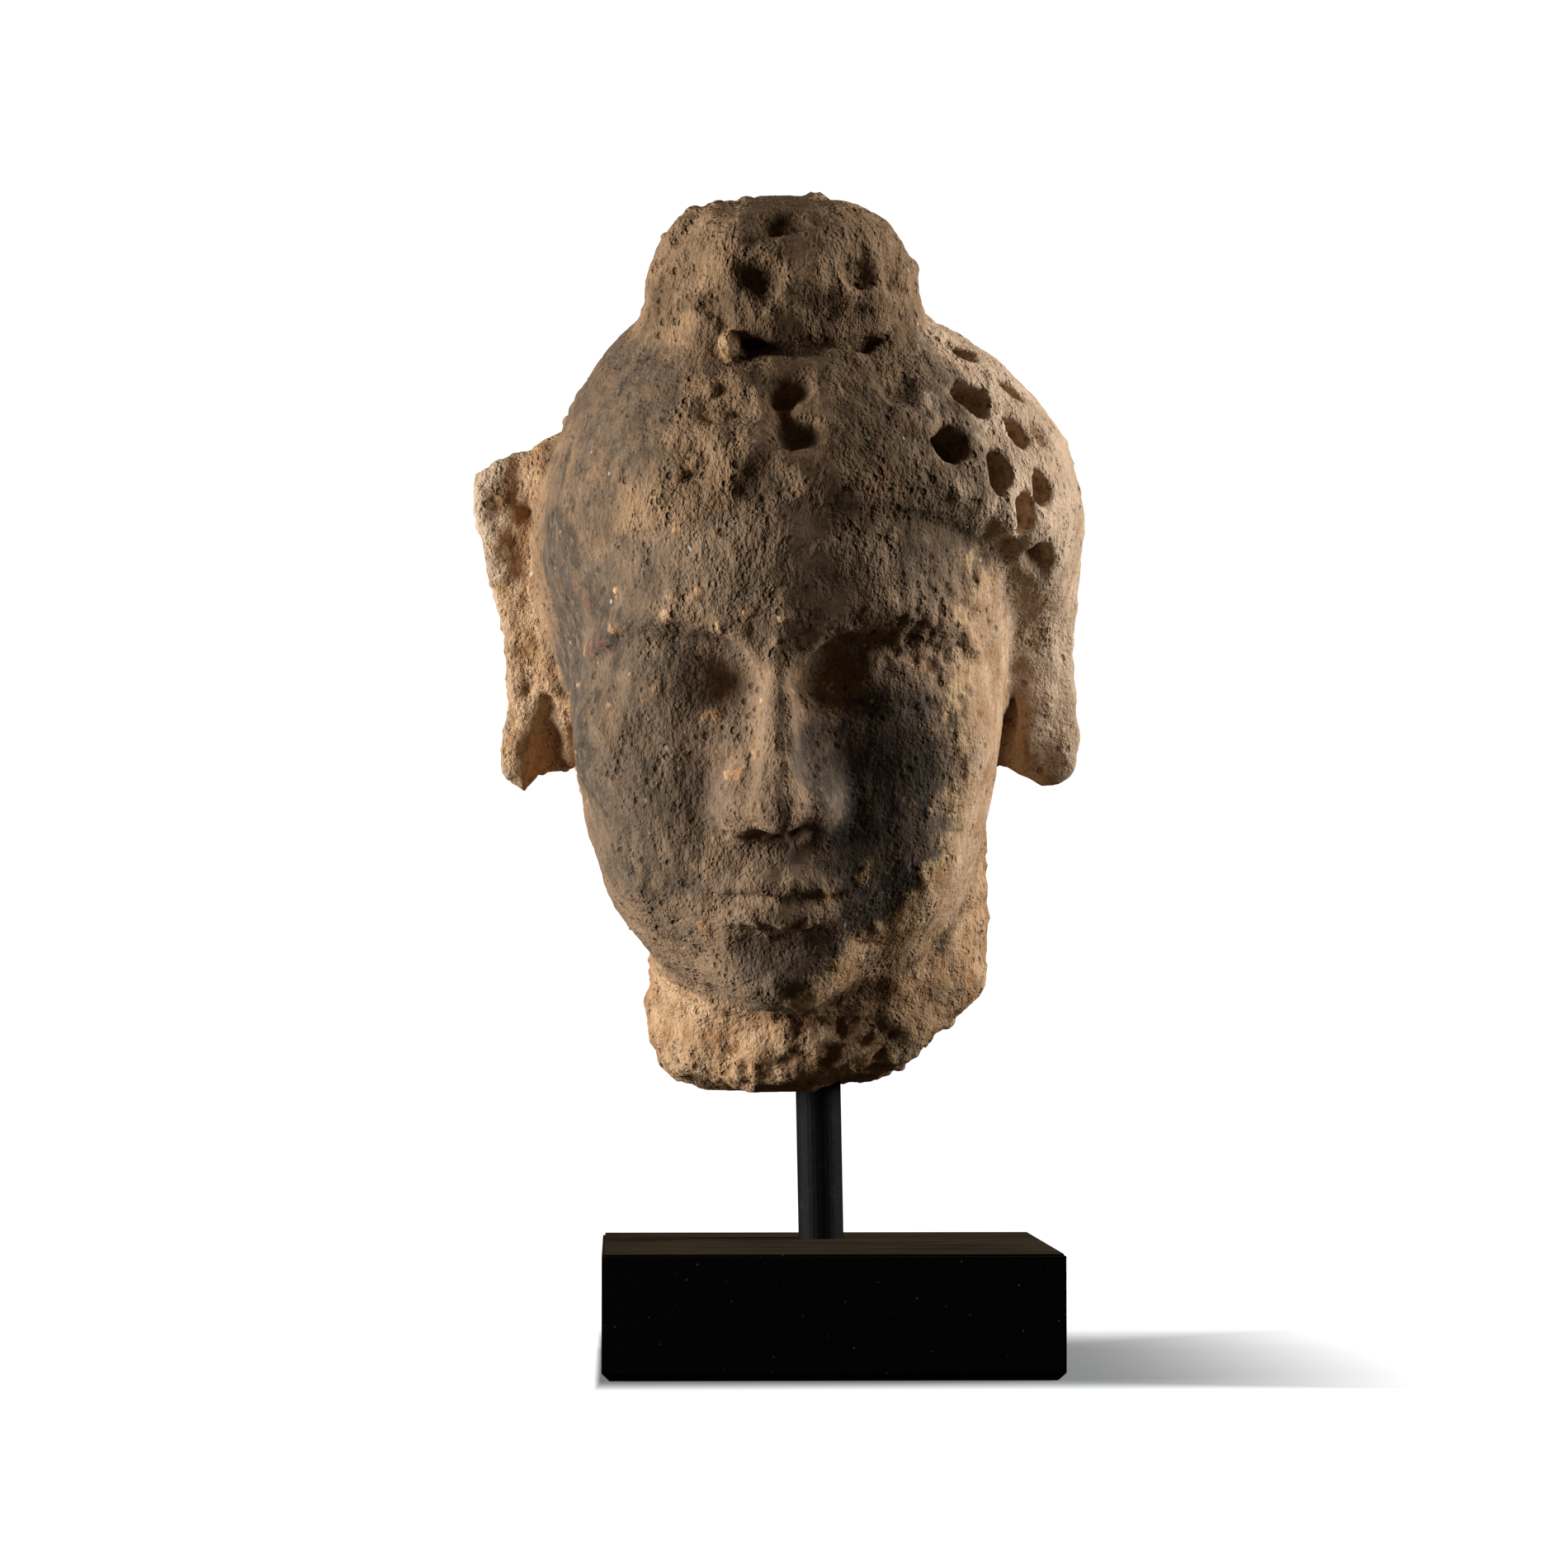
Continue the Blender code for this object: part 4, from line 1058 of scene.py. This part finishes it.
def black_block():
    """Black wood, with dust and a painted warm reflection on its top, and a few specks."""
    made, tree, shader = surface("block_wood", 0.6, 0.05)
    # The top faces are painted lighter and warmer: dust in streaks, and a painted warm reflection.
    up = node(tree, "SeparateXYZ", {"Vector": node(tree, "NewGeometry", {}, out="True Normal")}, out="Z")
    streaks = between(tree, grain(tree, 0.004, 5.0, 0.6, (0.12, 1.0, 1.0)), 0.35, 0.65, 0.3, 1.15)
    dust = calc(tree, "MULTIPLY", calc(tree, "MAXIMUM", up, 0.0), streaks)
    colour = mixed(tree, dust, (0.0045, 0.0037, 0.0035, 1.0), (0.055, 0.038, 0.022, 1.0))
    some = between(tree, grain(tree, 0.009, 2.0), 0.45, 0.55)
    speck = calc(tree, "MULTIPLY", between(tree, dots(tree, 380.0), 0.06, 0.1, 0.6, 0.0), some)
    colour = mixed(tree, speck, colour, (0.22, 0.17, 0.10, 1.0))
    join(tree, colour, shader, "Base Color")
    join(tree, bumped(tree, grain(tree, 0.001, 4.0), 0.5, 0.0003), shader, "Normal")
    return made


def repaint(name, look):
    """Gives every material slot of a CAD node the look."""
    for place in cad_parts[name].material_slots:
        place.material = look


# Stage, light and camera

def clear_of(tree, place, way, half, reach):
    """How far a place on the floor is from the block, one way along an axis, as a share of reach."""
    gap = calc(tree, "SUBTRACT", calc(tree, "MULTIPLY", place, way), half)
    return calc(tree, "DIVIDE", calc(tree, "MAXIMUM", gap, 0.0), reach)


# The sweep in profile: flat as far as its bend, then a quarter round, then straight up to its top
SWEEP_FLAT = (0.0, 0.5, 1.0, 1.8)
SWEEP_BEND = 0.9
SWEEP_TOP = 2.6
SWEEP_STEPS = 96
# A painted shadow: the floor glows dim near the block and bright further away, where the glow hides the
# lamps' shadows: axis, way along it, how far the dim part reaches
PAINTED_FLOOR_SHADOW = (
    ("X", 1.0, 0.105),
    ("X", -1.0, 0.002),
    ("Y", -1.0, 0.034),
    ("Y", 1.0, 0.09),
)


def sweep_mesh():
    """A floor that curves up into a round wall."""
    foot = SWEEP_FLAT[-1]
    bend = np.linspace(0.1, math.pi / 2, 12)
    profile = [(radius, 0.0) for radius in SWEEP_FLAT]
    profile += [(foot + SWEEP_BEND * math.sin(a), SWEEP_BEND - SWEEP_BEND * math.cos(a)) for a in bend]
    profile += [(foot + SWEEP_BEND, SWEEP_TOP)]
    bm = bmesh.new()
    start = [bm.verts.new((r, 0.0, z)) for r, z in profile]
    edges = [bm.edges.new(pair) for pair in zip(start, start[1:])]
    full_turn = {"axis": (0, 0, 1), "cent": (0, 0, 0), "angle": 2.0 * math.pi}
    bmesh.ops.spin(bm, geom=start + edges, steps=SWEEP_STEPS, use_merge=True, **full_turn)
    bmesh.ops.remove_doubles(bm, verts=bm.verts, dist=1e-5)
    bmesh.ops.recalc_face_normals(bm, faces=bm.faces)
    mesh = bpy.data.meshes.new("sweep")
    bm.to_mesh(mesh)
    bm.free()
    mesh.shade_smooth()
    return mesh


def paper():
    made, tree, shader = surface("paper", 0.95, 0.1)
    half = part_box("base_block")[1][0]
    away = 0.0
    for axis, way, reach in PAINTED_FLOOR_SHADOW:
        place = node(tree, "SeparateXYZ", {"Vector": coordinates(tree)}, out=axis)
        away = calc(tree, "MAXIMUM", away, clear_of(tree, place, way, half, reach))
    # A dark grey base under a glow. The glow is painted light on the floor, dimmed near the block into a
    # painted shadow that reaches furthest to +X.
    shader.inputs["Base Color"].default_value = (0.3, 0.31, 0.32, 1.0)
    shader.inputs["Emission Color"].default_value = (1.0, 1.0, 1.0, 1.0)
    join(tree, between(tree, away, 0.0, 1.0, 0.10, 1.05), shader, "Emission Strength")
    return made


def sweep():
    """The pale floor and wall. They don't light the object or show in it."""
    floor = put("paper_sweep", sweep_mesh(), paper())
    floor.visible_diffuse = False
    floor.visible_glossy = False


# Soft boxes on both sides: name, place, watts
SOFTBOXES = (
    ("left_box", (-1.08, -0.13, 0.18), 20.0),
    ("right_box", (0.91, 0.06, 0.46), 11.5),
)
SOFTBOX_SIDE = 0.5
LIT_PLACE = (0.0, 0.0, 0.13)
# A faint warm light from all round
WORLD_COLOUR = (1.0, 0.76, 0.5, 1.0)
WORLD_STRENGTH = 0.022


def softbox(name, place, power):
    """A square light that faces the middle of the object."""
    light = bpy.data.lights.new(name, "AREA")
    light.shape = "RECTANGLE"
    light.size, light.size_y = SOFTBOX_SIDE, SOFTBOX_SIDE
    light.energy = power
    lamp = bpy.data.objects.new(name, light)
    lamp.location = place
    lamp.rotation_euler = (Vector(LIT_PLACE) - Vector(place)).to_track_quat("-Z", "Y").to_euler()
    bpy.context.scene.collection.objects.link(lamp)


def lighting():
    for box in SOFTBOXES:
        softbox(*box)
    world = bpy.data.worlds.new("studio")
    world.use_nodes = True
    background = world.node_tree.nodes["Background"]
    background.inputs["Color"].default_value = WORLD_COLOUR
    background.inputs["Strength"].default_value = WORLD_STRENGTH
    bpy.context.scene.world = world
    bpy.context.scene.view_settings.view_transform = "Standard"


# The camera stands a little to the left of the head, at the height of the break of the neck. It looks a
# little up and to the right. The frame is given in its pixels: half its side, the focal length, and how far
# the points level with the camera and straight ahead of it are from the middle.
CAMERA_PLACE = (-0.0425, -1.036, 0.0768)
HALF_FRAME = 950.0
FOCAL_LENGTH = 6059.0
LEVEL_BELOW = 252.0
PLUMB_LEFT = 199.0


def camera():
    data = bpy.data.cameras.new("camera")
    data.angle = 2.0 * math.atan(HALF_FRAME / FOCAL_LENGTH)
    made = bpy.data.objects.new("camera", data)
    made.location = CAMERA_PLACE
    rise = math.radians(90.0) + math.atan(LEVEL_BELOW / FOCAL_LENGTH)
    made.rotation_euler = (rise, 0.0, -math.atan(PLUMB_LEFT / FOCAL_LENGTH))
    bpy.context.scene.collection.objects.link(made)
    bpy.context.scene.camera = made


def main():
    head = head_piece()
    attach(head, "root")
    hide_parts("head")
    repaint("rod", black_paint())
    repaint("base_block", black_block())
    sweep()
    lighting()
    camera()


main()
